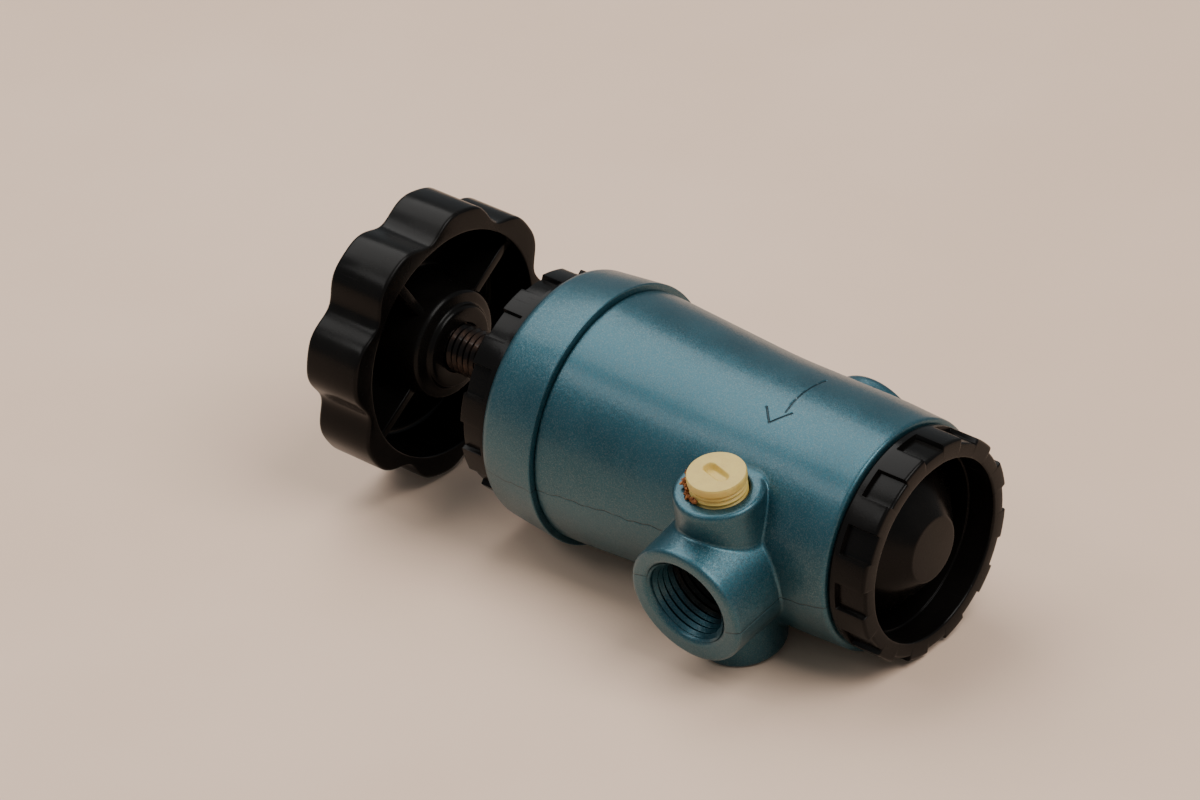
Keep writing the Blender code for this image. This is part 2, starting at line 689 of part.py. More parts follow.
def spring_load(parent, steel, spring_steel):
    """Upper plate and ball that the spindle pushes, and the range spring."""
    face = SPRING_PLATE_FACE
    turned("upper_spring_plate", [
        (face - BALL_SOCKET_FLOOR, 0),
        (face - BALL_SOCKET_FLOOR, BALL_SOCKET_RADIUS),
        (face - SPRING_PLATE_THICKNESS, BALL_SOCKET_RADIUS),
        (face - SPRING_PLATE_THICKNESS, SPRING_PLATE_RADIUS - EDGE),
        (face - SPRING_PLATE_THICKNESS + EDGE, SPRING_PLATE_RADIUS),
        (face, SPRING_PLATE_RADIUS),
        (face, SPRING_PILOT_RADIUS),
        (face + SPRING_PILOT_LENGTH, SPRING_PILOT_RADIUS),
        (face + SPRING_PILOT_LENGTH, 0),
    ], parent, steel, MIDDLE)
    ball = arc(face - BALL_OFFSET, 0, BALL_RADIUS, 0, 180, 8)
    outline = [(ball[0][0], 0)] + ball[1:-1] + [(ball[-1][0], 0)]
    turned("thrust_ball", outline, parent, spring_steel, SMALL)
    coil("range_spring", face + GAP, DIAPHRAGM_PLATE_FACE - GAP, RANGE_SPRING_RADIUS, RANGE_SPRING_WIRE,
         RANGE_SPRING_TURNS, RANGE_SPRING_STEPS, parent, spring_steel)


# ---- Diaphragm, stem and poppet ----

def diaphragm(parent, look):
    """Rubber disc with one rolled convolution between its clamped rim and its plate."""
    steps = 6
    roll = []
    for step in range(steps + 1):
        radius = ROLL_INNER_RADIUS + (ROLL_OUTER_RADIUS - ROLL_INNER_RADIUS) * step / steps
        roll.append((DIAPHRAGM_MIDDLE + ROLL_HEIGHT * 0.5 * (1 - cos(2 * pi * step / steps)), radius))
    middle_line = [(DIAPHRAGM_MIDDLE, STEM_RADIUS + GAP), *roll, (DIAPHRAGM_MIDDLE, DIAPHRAGM_RADIUS)]
    top = [(station - DIAPHRAGM_HALF_THICKNESS, radius) for station, radius in middle_line]
    under = [(station + DIAPHRAGM_HALF_THICKNESS, radius) for station, radius in middle_line]
    turned("diaphragm", top + under[::-1], parent, look, MIDDLE)


def valve_train(parent, steel, brass, rubber):
    """Diaphragm plate with its fixings, stem, and poppet with its seal."""
    hole = STEM_RADIUS + GAP
    face = DIAPHRAGM_PLATE_FACE
    turned("diaphragm_plate", [
        (DIAPHRAGM_PLATE_BACK, hole),
        (DIAPHRAGM_PLATE_BACK, DIAPHRAGM_PLATE_RADIUS),
        (face, DIAPHRAGM_PLATE_RADIUS),
        (face, SPRING_PILOT_RADIUS),
        (face - DIAPHRAGM_PILOT_LENGTH, SPRING_PILOT_RADIUS),
        (face - DIAPHRAGM_PILOT_LENGTH, hole),
    ], parent, steel, MIDDLE)
    collar("diaphragm_washer", DIAPHRAGM_WASHER_START, DIAPHRAGM_WASHER_END, hole, DIAPHRAGM_WASHER_RADIUS,
           parent, steel)
    collar("diaphragm_nut", DIAPHRAGM_NUT_START, DIAPHRAGM_NUT_END, hole, hexagon(DIAPHRAGM_NUT_FLATS),
           parent, steel, SMALL)
    turned("stem", [
        (STEM_START, 0),
        (STEM_START, STEM_RADIUS),
        (STEM_COLLAR_START, STEM_RADIUS),
        (STEM_COLLAR_START, STEM_COLLAR_RADIUS),
        (STEM_COLLAR_END, STEM_COLLAR_RADIUS),
        (STEM_COLLAR_END, STEM_RADIUS),
        (STEM_END, STEM_RADIUS),
        (STEM_END, 0),
    ], parent, brass, SMALL)
    turned("poppet", [
        (POPPET_SOCKET_FLOOR, 0),
        (POPPET_SOCKET_FLOOR, hole),
        (POPPET_POCKET_FLOOR, hole),
        (POPPET_POCKET_FLOOR, POPPET_POCKET_RADIUS),
        (POPPET_FRONT, POPPET_POCKET_RADIUS),
        (POPPET_FRONT, POPPET_RADIUS),
        (POPPET_BACK, POPPET_RADIUS),
        (POPPET_BACK, POPPET_TAIL_RADIUS),
        (POPPET_TAIL_END - EDGE, POPPET_TAIL_RADIUS),
        (POPPET_TAIL_END, POPPET_TAIL_RADIUS - EDGE),
        (POPPET_TAIL_END, 0),
    ], parent, brass, MIDDLE)
    collar("poppet_seal", SEAL_START, SEAL_END, hole, SEAL_RADIUS, parent, rubber)


# ---- How the valve lies on a flat surface ----

def resting_tilt():
    """Tilt that lays the line from the band's widest ring to the body's end on the floor."""
    drop = BAND_RADIUS - BODY_END_RADIUS
    return atan2(drop, BODY_END - BAND_START)


def resting_roll(tilt):
    """Roll towards the outlet at which the lower gauge boss's rim reaches the same floor."""
    floor = (BAND_RADIUS + BAND_START * sin(tilt) / cos(tilt)) * cos(tilt)
    low, high = 0.0, radians(30)
    for _ in range(HALVINGS):
        roll = (low + high) / 2
        height = LOWER_GAUGE_FACE - GAUGE_ROUNDING
        level = cos(tilt) * (height * cos(roll) + GAUGE_OFFSET * sin(roll))
        rim = (GAUGE_RADIUS - GAUGE_ROUNDING) * hypot(sin(tilt), cos(tilt) * sin(roll))
        if level + rim + GAUGE_ROUNDING < floor:
            low = roll
        else:
            high = roll
    return roll


def stand_on_floor(valve):
    """Move the valve so that the middle of its box's underside is the world origin."""
    bpy.context.view_layer.update()
    graph = bpy.context.evaluated_depsgraph_get()
    points = []
    for piece in bpy.context.scene.objects:
        if piece.type == "MESH" and not piece.hide_render:
            evaluated = piece.evaluated_get(graph)
            points += [evaluated.matrix_world @ vertex.co for vertex in evaluated.data.vertices]
    low = Vector(min(point[axis] for point in points) for axis in range(3))
    high = Vector(max(point[axis] for point in points) for axis in range(3))
    valve.location = (-(low.x + high.x) / 2, -(low.y + high.y) / 2, -low.z)


def build():
    for old in list(bpy.data.objects):
        bpy.data.objects.remove(old, do_unlink=True)

    teal = material("teal_paint", (0.05, 0.17, 0.22), 0.35, 0.5)
    black = material("black_plastic", (0.012, 0.011, 0.011), 0.3)
    cream = material("cream_plastic", (0.75, 0.66, 0.38), 0.45)
    brass = material("brass", (0.62, 0.45, 0.18), 0.3, 1.0)
    steel = material("zinc_steel", (0.45, 0.45, 0.44), 0.35, 1.0)
    spring_steel = material("spring_steel", (0.22, 0.22, 0.23), 0.35, 1.0)
    rubber = material("rubber", (0.02, 0.02, 0.02), 0.7)

    valve = empty("valve")
    tilt = resting_tilt()
    valve.rotation_euler = (resting_roll(tilt), tilt, 0)
    carriage = empty("spring_carriage", valve)
    turning = empty("spindle_group", carriage)
    train = empty("valve_train", valve)

    valve_body(valve, teal)
    bonnet(valve, teal)
    panel_ring_nut(valve, black)
    lower_ring_nut(valve, black)
    bottom_cap(valve, black)
    cap_o_ring(valve, rubber)
    diaphragm_clamp_ring(valve, steel)
    seat_insert(valve, brass)
    spindle_bush(valve, brass)
    gauge_plugs(valve, cream)

    spring_load(carriage, steel, spring_steel)
    handwheel(turning, black)
    spindle(turning, steel)
    hub_fixings(turning, steel, black)

    diaphragm(train, rubber)
    valve_train(train, steel, brass, rubber)
    coil("poppet_spring", POPPET_BACK + GAP, CAP_SPRING_SEAT - GAP, POPPET_SPRING_RADIUS, POPPET_SPRING_WIRE,
         POPPET_SPRING_TURNS, POPPET_SPRING_STEPS, train, spring_steel)

    stand_on_floor(valve)


build()
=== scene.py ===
"""Looks of the diaphragm pressure-reducing valve: fine surfaces, materials, floor, light and camera.

Sizes are in metres. Each visible piece is built in the valve's own frame, as in the CAD source: X along
the valve axis from the handwheel to the bottom cap, -Y out of the outlet port, +Z up through the upper
gauge boss. Its mesh is then laid down where the valve rests.
"""

import json
from math import cos, pi, radians, sin

import bmesh
import bpy
import numpy as np
from mathutils import Matrix, Vector, noise


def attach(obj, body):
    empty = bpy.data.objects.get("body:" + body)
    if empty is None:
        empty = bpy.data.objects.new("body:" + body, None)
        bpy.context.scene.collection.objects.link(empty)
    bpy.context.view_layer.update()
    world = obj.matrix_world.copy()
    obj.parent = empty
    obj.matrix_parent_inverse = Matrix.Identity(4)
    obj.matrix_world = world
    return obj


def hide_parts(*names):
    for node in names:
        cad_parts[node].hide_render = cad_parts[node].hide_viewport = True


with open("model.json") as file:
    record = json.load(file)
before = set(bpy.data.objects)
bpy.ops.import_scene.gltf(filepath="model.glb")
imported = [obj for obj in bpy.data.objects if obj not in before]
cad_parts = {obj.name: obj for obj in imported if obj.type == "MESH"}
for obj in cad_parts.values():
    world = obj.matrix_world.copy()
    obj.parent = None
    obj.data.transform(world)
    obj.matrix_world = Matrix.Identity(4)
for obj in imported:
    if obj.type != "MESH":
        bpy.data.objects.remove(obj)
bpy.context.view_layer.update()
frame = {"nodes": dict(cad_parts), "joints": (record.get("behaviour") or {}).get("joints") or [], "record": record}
JOINTS = {joint["name"]: joint for joint in frame["joints"]}
MOUNTS = {mount["name"]: mount for mount in frame["record"]["mounts"]}

# Stations along the valve axis, within half a millimetre of the CAD source
WHEEL_PIVOT = -0.1134
WHEEL_BACK = -0.1217
WHEEL_FRONT = -0.1055
HUB_FRONT = -0.1030
NOSE_END = -0.0795
PANEL_NUT_END = -0.0789
BAND_END = -0.0706
BAND_START = -0.0540
BODY_START = -0.05385
BODY_END = 0.0282
RING_NUT_END = 0.0382
NUT_GAP = 0.0003

# Radii and bosses, within half a millimetre of the CAD source
WHEEL_RADIUS = 0.0348
PANEL_NUT_RADIUS = 0.0281
LOWER_NUT_RADIUS = 0.0269
BODY_STATIONS = (BODY_START, -0.0145, 0.0170, BODY_END)
BODY_RADII = (0.0310, 0.0286, 0.0286, 0.0279)
BODY_SMOOTHING = 0.0060
BAND_RADIUS = 0.0325
BAND_END_RADIUS = 0.0309
NOSE_RADIUS = 0.0220
OUTLET_FACE = 0.0433
OUTLET_RADIUS = 0.0154
OUTLET_SLOPE = 0.025
OUTLET_DROP = 0.0008
INLET_FACE = 0.0299
INLET_RADIUS = 0.0130
INLET_SLOPE = 0.06
GAUGE_OFFSET = 0.0263
GAUGE_FACE = 0.0221
LOWER_GAUGE_FACE = 0.0237
GAUGE_RADIUS = 0.0106
GAUGE_SLOPE = 0.02
BOSS_FILLET = 0.0007
BOSS_RIM = 0.0015
INLET_RIM = 0.0020
SPINDLE_RADIUS = 0.0060

# Bores of the ports, and the plugs in the gauge ports
PORT_DEPTH = 0.0165
OUTLET_MOUTH = 0.0115
INLET_MOUTH = 0.0114
OUTLET_CORE = 0.0093
OUTLET_CORE_END = 0.0170
GAUGE_BORE = 0.0071
GAUGE_MOUTH = 0.0074
GAUGE_CORE = 0.0062
GAUGE_BORE_FLOOR = 0.0150
PLUG_RADIUS = 0.0069
UPPER_PLUG_END = 0.0266
LOWER_PLUG_END = 0.0233

# Round chambers about the valve axis, as (start, end, radius); the first and the last open outwards
BEYOND = 1.0
CHAMBERS = [
    (-BEYOND, -0.0200, 0.0260),
    (-0.0205, -0.0145, 0.0215),
    (-0.0150, -0.0055, 0.0075),
    (-0.0100, 0.0, 0.0105),
    (-0.0060, 0.0180, 0.0140),
    (0.0170, BEYOND, 0.0242),
]
PASSAGE = (-0.0150, -0.0070, 0.0035)
PASSAGE_OFFSET = 0.0180

# Threads: G 1/2 in the ports, G 1/4 on the plugs, M12 on the spindle
PIPE_PITCH = 0.001814
PIPE_CREST = 0.00940
PIPE_ROOT = 0.01026
PIPE_MOUTH = 0.0112
GAUGE_PITCH = 0.001337
SPINDLE_PITCH = 0.00175

# Castellated ring nuts: recesses round the nut, in degrees, and the depth of each
NUT_RECESSES = 12
NUT_PITCH = 30
NUT_PHASE = 22
RECESS_HALF_WIDTH = 7.8
RECESS_RAMP = 0.6
RECESS_DEPTH = 0.0012

# Handwheel: lobes round the rim, ribs inside it, and the angle of the first lobe and the first rib
WHEEL_LOBES = 8
WHEEL_RIBS = 4
WHEEL_PHASE = radians(24)
VALLEY_DEPTH = 0.0039
VALLEY_SHARPNESS = 2.06

# Flow arrow: points (station, distance round the body from its top towards the outlet)
ARROW_TIP = (0.0007, 0.0079)
ARROW_ARMS = [(-0.0025, 0.0044), (0.0040, 0.0034)]
ARROW_SHAFT = [(0.0021, -0.0117), (0.0019, -0.0080), (0.0018, -0.0040), (0.0020, 0.0), (0.0024, 0.0037)]
ARROW_STROKES = list(zip(ARROW_SHAFT, ARROW_SHAFT[1:])) + [(end, ARROW_TIP) for end in ARROW_ARMS]
ARROW_REACH = 0.0286
ARROW_DEPTH = 0.00022
ARROW_WIDTH = 0.00020

# Die line on the outlet side: (slope, level at the ports) before and beyond them, ripples as (rate, size)
SEAM_BEFORE = (0.060, 0.00385)
SEAM_BEYOND = (0.136, -0.00437)
SEAM_RIPPLES = [(520.0, 0.00022), (1430.0, 0.00012)]
SEAM_SIDE = -0.0240
SEAM_DEPTH = 0.00007
SEAM_WIDTH = 0.00015

# Lamps: the point that they face, and their colours
LAMP_TARGET = Vector((-0.02, 0, 0.03))
LAMP_WHITE = (1.0, 0.98, 0.95)
FILL_WHITE = (1.0, 0.97, 0.93)

# Step of the grid that the casting's surface is drawn on
CASTING_STEP = 0.0005


def valve_frame():
    """Where the valve's own frame lies in the row frame, from the handwheel's joint and the port faces."""
    along = Vector(JOINTS["handwheel_turn"]["axis"]).normalized()
    across = -Vector(MOUNTS["outlet_face"]["axis"]).normalized()
    turn = Matrix((along, across, along.cross(across))).transposed().to_4x4()
    origin = Vector(JOINTS["handwheel_turn"]["pos_m"]) - WHEEL_PIVOT * along
    return Matrix.Translation(origin) @ turn


VALVE = valve_frame()
ALONG_X = Matrix.Identity(4)
OUTLET_WAY = Matrix.Rotation(-pi / 2, 4, "Z")
INLET_WAY = Matrix.Rotation(pi / 2, 4, "Z")
UPPER_GAUGE_WAY = Matrix.Translation((0, -GAUGE_OFFSET, 0)) @ Matrix.Rotation(-pi / 2, 4, "Y")
LOWER_GAUGE_WAY = Matrix.Translation((0, -GAUGE_OFFSET, 0)) @ Matrix.Rotation(pi / 2, 4, "Y")


# ---- Pieces ----

def piece(name, mesh, body, look, stands_for=(), way=ALONG_X):
    """Show a mesh as a piece that rides on a body and stands for CAD nodes."""
    mesh.transform(VALVE @ way)
    mesh.materials.append(look)
    made = bpy.data.objects.new(name, mesh)
    bpy.context.scene.collection.objects.link(made)
    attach(made, body)
    if stands_for:
        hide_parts(*stands_for)
    return made


def close(shape, name, sharp=40):
    """Turn a bmesh into a smooth-shaded mesh with its faces pointing out."""
    bmesh.ops.remove_doubles(shape, verts=shape.verts, dist=1e-7)
    bmesh.ops.recalc_face_normals(shape, faces=shape.faces)
    mesh = bpy.data.meshes.new(name)
    shape.to_mesh(mesh)
    shape.free()
    mesh.shade_smooth()
    mesh.set_sharp_from_angle(angle=radians(sharp))
    return mesh


def rounded(corners, steps=5):
    """Round each corner of a closed outline. A corner is (station, radius, rounding, relief share)."""
    outline = []
    count = len(corners)
    for index, (station, radius, size, share) in enumerate(corners):
        here = np.array((station, radius, share))
        if size == 0:
            outline.append(here)
            continue
        ends = []
        for other in (corners[index - 1], corners[(index + 1) % count]):
            away = np.array((other[0], other[1], other[3])) - here
            ends.append(here + away * min(0.5, size / np.hypot(away[0], away[1])))
        for t in np.linspace(0, 1, steps):
            outline.append((1 - t) ** 2 * ends[0] + 2 * t * (1 - t) * here + t * t * ends[1])
    return outline


def turned(name, corners, segments=160, relief=None, angles=None, steps=5):
    """Turn a rounded outline about X. Relief gives a depth at each angle, cut where the share is 1."""
    angles = np.linspace(0, 2 * pi, segments, endpoint=False) if angles is None else angles
    depth = np.array([relief(angle) for angle in angles]) if relief else np.zeros(len(angles))
    shape = bmesh.new()
    rings = []
    for station, radius, share in rounded(corners, steps):
        if radius <= 0:
            rings.append([shape.verts.new((station, 0, 0))])
            continue
        reach = radius - share * depth
        rings.append([shape.verts.new((station, r * cos(a), r * sin(a))) for r, a in zip(reach, angles)])
    for first, second in zip(rings, rings[1:] + rings[:1]):
        count = max(len(first), len(second))
        for here in range(count if len(first) + len(second) > 2 else 0):
            after = (here + 1) % count
            face = [first[here % len(first)], first[after % len(first)]]
            face += [second[after % len(second)], second[here % len(second)]]
            shape.faces.new(dict.fromkeys(face))
    return close(shape, name)


def threaded(name, start, end, pitch, crest, root, segments=96, limit=None):
    """Helical thread surface about X, with its crest and root radii; limit trims the radius at a station."""
    profile = [(0.0, root), (0.06, root), (0.44, crest), (0.56, crest), (0.94, root)]
    turns = (end - start) / pitch + 1
    shape = bmesh.new()
    rows = []
    for step in range(int(turns * segments) + 1):
        angle = 2 * pi * step / segments
        row = []
        for share, radius in profile + [(1.0, root)]:
            station = start + (step / segments + share - 1) * pitch
            station = min(max(station, start), end)
            reach = limit(station, radius) if limit else radius
            row.append(shape.verts.new((station, reach * cos(angle), reach * sin(angle))))
        rows.append(row)
    for first, second in zip(rows, rows[1:]):
        for here in range(len(profile)):
            shape.faces.new((first[here], first[here + 1], second[here + 1], second[here]))
    return close(shape, name, 75)


def block(shape, low, high, turn=ALONG_X, bevel=0.0003):
    """Add a bevelled block to a bmesh."""
    low, high = Vector(low), Vector(high)
    place = turn @ Matrix.Translation((low + high) / 2) @ Matrix.Diagonal((*(high - low), 1))
    made = bmesh.ops.create_cube(shape, size=1, matrix=place)["verts"]
    edges = {edge for vertex in made for edge in vertex.link_edges}
    bmesh.ops.bevel(shape, geom=list(edges), offset=bevel, segments=3, profile=0.5, affect="EDGES")


# ---- Materials ----

class Looks:
    """Short way to write a node material."""

    def __init__(self, name):
        self.material = bpy.data.materials.new(name)
        self.material.use_nodes = True
        self.tree = self.material.node_tree
        self.shader = self.tree.nodes["Principled BSDF"]
        laid = self.node("ShaderNodeTexCoord").outputs["Object"]
        turn = VALVE.to_euler()
        back = self.node("ShaderNodeMapping", laid, VALVE.translation, turn, vector_type="TEXTURE")
        self.place = back.outputs[0]

    def node(self, kind, *inputs, **settings):
        made = self.tree.nodes.new(kind)
        for key, value in settings.items():
            setattr(made, key, value)
        for slot, value in enumerate(inputs):
            self.feed(made.inputs[slot], value)
        return made

    def feed(self, socket, value):
        if isinstance(value, bpy.types.NodeSocket):
            self.tree.links.new(value, socket)
        elif value is not None:
            socket.default_value = value

    def set(self, **values):
        for key, value in values.items():
            self.feed(self.shader.inputs[key.replace("_", " ")], value)

    def math(self, operation, first, second=0.0, third=0.0, clamp=False):
        made = self.node("ShaderNodeMath", first, second, third, operation=operation, use_clamp=clamp)
        return made.outputs[0]

    def vector(self, operation, first, second=(0, 0, 0)):
        made = self.node("ShaderNodeVectorMath", first, second, operation=operation)
        return made.outputs["Value" if operation in ("DOT_PRODUCT", "LENGTH") else "Vector"]

    def stretch(self, vector, amount):
        made = self.node("ShaderNodeVectorMath", vector, operation="SCALE")
        self.feed(made.inputs["Scale"], amount)
        return made.outputs["Vector"]

    def noise(self, scale, detail=2.0, roughness=0.5, where=None):
        made = self.node("ShaderNodeTexNoise", where or self.place)
        made.inputs["Scale"].default_value = scale
        made.inputs["Detail"].default_value = detail
        made.inputs["Roughness"].default_value = roughness
        return made.outputs["Fac"]

    def range(self, value, low, high, to_low=0.0, to_high=1.0):
        smooth = "SMOOTHSTEP"
        made = self.node("ShaderNodeMapRange", value, low, high, to_low, to_high, interpolation_type=smooth)
        return made.outputs["Result"]

    def mix(self, share, first, second):
        made = self.node("ShaderNodeMix", data_type="RGBA")
        self.feed(made.inputs["Factor"], share)
        self.feed(made.inputs[6], first if isinstance(first, bpy.types.NodeSocket) else (*first, 1))
        self.feed(made.inputs[7], second if isinstance(second, bpy.types.NodeSocket) else (*second, 1))
        return made.outputs[2]

    def bump(self, height, distance, strength=1.0, normal=None):
        made = self.node("ShaderNodeBump")
        made.inputs["Strength"].default_value = strength
        made.inputs["Distance"].default_value = distance
        self.feed(made.inputs["Height"], height)
        if normal:
            self.feed(made.inputs["Normal"], normal)
        return made.outputs["Normal"]


def segment_distance(looks, point, start, end):
    """Distance in a plane from a point socket to a line segment."""
    run = Vector(end) - Vector(start)
    away = looks.vector("SUBTRACT", point, (*start, 0))
    along = looks.math("DIVIDE", looks.vector("DOT_PRODUCT", away, (*run, 0)), run.length_squared, clamp=True)
    nearest = looks.vector("SCALE", (*run, 0))
    looks.feed(nearest.node.inputs["Scale"], along)
    return looks.vector("LENGTH", looks.vector("SUBTRACT", away, nearest))


def flow_arrow(looks):
    """Mask of painted shade in the engraved arrow's groove."""
    split = looks.node("ShaderNodeSeparateXYZ", looks.place).outputs
    angle = looks.math("ARCTAN2", looks.math("MULTIPLY", split[1], -1), split[2])
    across = looks.math("MULTIPLY", angle, ARROW_REACH)
    point = looks.node("ShaderNodeCombineXYZ", split[0], across).outputs[0]
    nearest = None
    for start, end in ARROW_STROKES:
        distance = segment_distance(looks, point, start, end)
        nearest = distance if nearest is None else looks.math("MINIMUM", nearest, distance)
    return looks.range(nearest, 0.00032, 0.00010)


def parting_line(looks):
    """Mask of painted shade along the thin uneven die line on the outlet side of the castings."""
    split = looks.node("ShaderNodeSeparateXYZ", looks.place).outputs
    left = looks.math("MULTIPLY_ADD", split[0], *SEAM_BEFORE)
    right = looks.math("MULTIPLY_ADD", split[0], *SEAM_BEYOND)
    beyond = looks.math("GREATER_THAN", split[0], 0.0)
    level = looks.math("MULTIPLY_ADD", looks.math("SUBTRACT", right, left), beyond, left)
    ripples = []
    for rate, size in SEAM_RIPPLES:
        wave = looks.math("SINE", looks.math("MULTIPLY", split[0], rate))
        ripples.append(looks.math("MULTIPLY", wave, size))
    offset = looks.math("SUBTRACT", looks.math("SUBTRACT", split[2], level), looks.math("ADD", *ripples))
    line = looks.range(looks.math("ABSOLUTE", offset), 0.00026, 0.00006)
    patchy = looks.range(looks.noise(240.0, 3.0), 0.30, 0.50, 0.35, 1.0)
    near = looks.range(split[1], SEAM_SIDE, SEAM_SIDE - 0.0010)
    return looks.math("MULTIPLY", looks.math("MULTIPLY", line, patchy), near)


def painted_bore_shade(looks):
    """Mask of painted shade deep in the ports' bores, beyond a wavy depth from each face."""
    split = looks.node("ShaderNodeSeparateXYZ", looks.place).outputs
    reach = looks.vector("LENGTH", looks.vector("MULTIPLY", looks.place, (1, 0, 1)))
    inside = looks.range(reach, 0.0116, 0.0112)
    wavy = looks.math("MULTIPLY_ADD", looks.noise(180.0), 0.004, split[1])
    depth = looks.math("MINIMUM", looks.range(wavy, -0.0350, -0.0320), looks.range(wavy, 0.0285, 0.0265))
    return looks.math("MULTIPLY", inside, depth)


def teal_paint(name="teal_paint_fine", marks=True):
    """Metallic lacquer on a die casting: flakes, mottling and orange peel, with painted shade in the casting's
    engraved marks and deep in the ports' bores.
    """
    looks = Looks(name)
    flakes = looks.node("ShaderNodeTexVoronoi", looks.place)
    flakes.inputs["Scale"].default_value = 5200.0
    glitter = looks.node("ShaderNodeSeparateColor", flakes.outputs["Color"]).outputs
    tilt = looks.stretch(looks.vector("SUBTRACT", flakes.outputs["Color"], (0.5, 0.5, 0.5)), 0.15)
    mottle = looks.noise(70.0, 4.0, 0.6)
    colour = looks.mix(looks.range(mottle, 0.3, 0.7), (0.012, 0.073, 0.100), (0.019, 0.090, 0.120))
    colour = looks.mix(looks.range(glitter[0], 0.55, 1.0, 0.0, 0.35), colour, (0.14, 0.175, 0.180))
    colour = looks.mix(looks.range(glitter[1], 0.70, 1.0, 0.0, 0.30), colour, (0.008, 0.035, 0.050))
    specks = looks.range(looks.noise(900.0, 2.0), 0.74, 0.80)
    colour = looks.mix(looks.math("MULTIPLY", specks, 0.3), colour, (0.02, 0.05, 0.06))
    # painted shade: the ports' bores turn near black deep inside
    colour = looks.mix(painted_bore_shade(looks), colour, (0.020, 0.019, 0.016))
    chips = looks.range(looks.noise(420.0, 4.0, 0.75), 0.655, 0.685)
    near_port = looks.range(looks.node("ShaderNodeSeparateXYZ", looks.place).outputs[1], -0.030, -0.036)
    chipped = looks.math("MULTIPLY", chips, looks.math("MULTIPLY", near_port, 0.6))
    colour = looks.mix(chipped, colour, (0.010, 0.026, 0.030))
    if marks:
        # painted shade: the die line's groove is drawn darker
        colour = looks.mix(looks.math("MULTIPLY", parting_line(looks), 0.85), colour, (0.008, 0.028, 0.038))
        # painted shade: the engraved arrow's groove is drawn darker
        colour = looks.mix(looks.math("MULTIPLY", flow_arrow(looks), 0.90), colour, (0.006, 0.022, 0.030))
    surface = looks.bump(looks.noise(700.0, 2.0), 0.00002, 0.8)
    looks.set(
        Base_Color=colour,
        Metallic=looks.range(glitter[2], 0.0, 1.0, 0.60, 0.82),
        Roughness=looks.range(mottle, 0.3, 0.7, 0.36, 0.44),
        Normal=looks.vector("NORMALIZE", looks.vector("ADD", surface, tilt)),
        Coat_Weight=0.35,
        Coat_Roughness=0.20,
        Coat_Normal=surface,
    )
    return looks.material


def black_plastic():
    """Glossy black moulding with faint flow marks, fine scratches and a little dust."""
    looks = Looks("black_plastic_fine")
    cloudy = looks.noise(55.0, 4.0, 0.6)
    dust = looks.range(looks.noise(2600.0, 4.0, 0.7), 0.70, 0.82)
    stretched = looks.vector("MULTIPLY", looks.place, (90.0, 2200.0, 2200.0))
    scratches = looks.range(looks.noise(1.0, 2.0, where=stretched), 0.68, 0.74)
    colour = looks.mix(looks.range(cloudy, 0.35, 0.7), (0.0032, 0.0027, 0.0025), (0.0052, 0.0044, 0.0039))
    colour = looks.mix(looks.math("MULTIPLY", dust, 0.20), colour, (0.075, 0.066, 0.056))
    rough = looks.range(cloudy, 0.3, 0.7, 0.18, 0.28)
    rough = looks.math("ADD", rough, looks.math("MULTIPLY", dust, 0.15))
    rough = looks.math("ADD", rough, looks.math("MULTIPLY", scratches, 0.12), clamp=True)
    height = looks.math("ADD", looks.noise(1800.0, 3.0), looks.math("MULTIPLY", looks.noise(220.0), 2.0))
    looks.set(
        Base_Color=colour,
        Roughness=rough,
        Specular_IOR_Level=0.11,
        Normal=looks.bump(height, 0.00002, 0.5),
    )
    return looks.material


def cream_plastic():
    """Ivory nylon plug: translucent, slightly blotchy, with darker brown patches laid at random."""
    looks = Looks("cream_plastic_fine")
    blotch = looks.noise(210.0, 4.0, 0.6)
    darker_patches = looks.range(looks.noise(520.0, 4.0, 0.65), 0.55, 0.78)
    colour = looks.mix(looks.range(blotch, 0.3, 0.7), (0.60, 0.42, 0.100), (0.68, 0.50, 0.140))
    # darker brown patches follow noise, not the plug's shape
    colour = looks.mix(looks.math("MULTIPLY", darker_patches, 0.20), colour, (0.32, 0.19, 0.07))
    looks.set(
        Base_Color=colour,
        Roughness=looks.range(blotch, 0.3, 0.7, 0.36, 0.50),
        Subsurface_Weight=0.25,
        Subsurface_Scale=0.0015,
        Subsurface_Radius=(1.0, 0.7, 0.35),
        Normal=looks.bump(looks.noise(1800.0, 3.0), 0.00005, 0.6),
    )
    return looks.material


def sealant():
    """Orange-brown remnant of thread sealant."""
    looks = Looks("sealant")
    grain = looks.noise(1400.0, 4.0, 0.7)
    colour = looks.mix(looks.range(grain, 0.35, 0.65), (0.16, 0.045, 0.012), (0.50, 0.19, 0.055))
    looks.set(Base_Color=colour, Roughness=0.75, Normal=looks.bump(grain, 0.0002, 1.0))
    return looks.material


def turned_metal(name, dark, light, rough, metallic=1.0, grease=0.0):
    """Turned metal with fine tool rings round the valve axis and a stained patina."""
    looks = Looks(name)
    rings = looks.noise(1.0, 2.0, where=looks.vector("MULTIPLY", looks.place, (9000.0, 260.0, 260.0)))
    stain = looks.noise(160.0, 4.0, 0.65)
    colour = looks.mix(looks.range(stain, 0.35, 0.70), dark, light)
    roughness = looks.range(stain, 0.3, 0.7, rough + 0.10, rough)
    roughness = looks.math("ADD", roughness, looks.math("MULTIPLY", rings, 0.1))
    looks.set(
        Base_Color=colour,
        Metallic=metallic,
        Roughness=roughness,
        Coat_Weight=grease,
        Coat_Roughness=0.08,
        Normal=looks.bump(rings, 0.00002, 0.6),
    )
    return looks.material


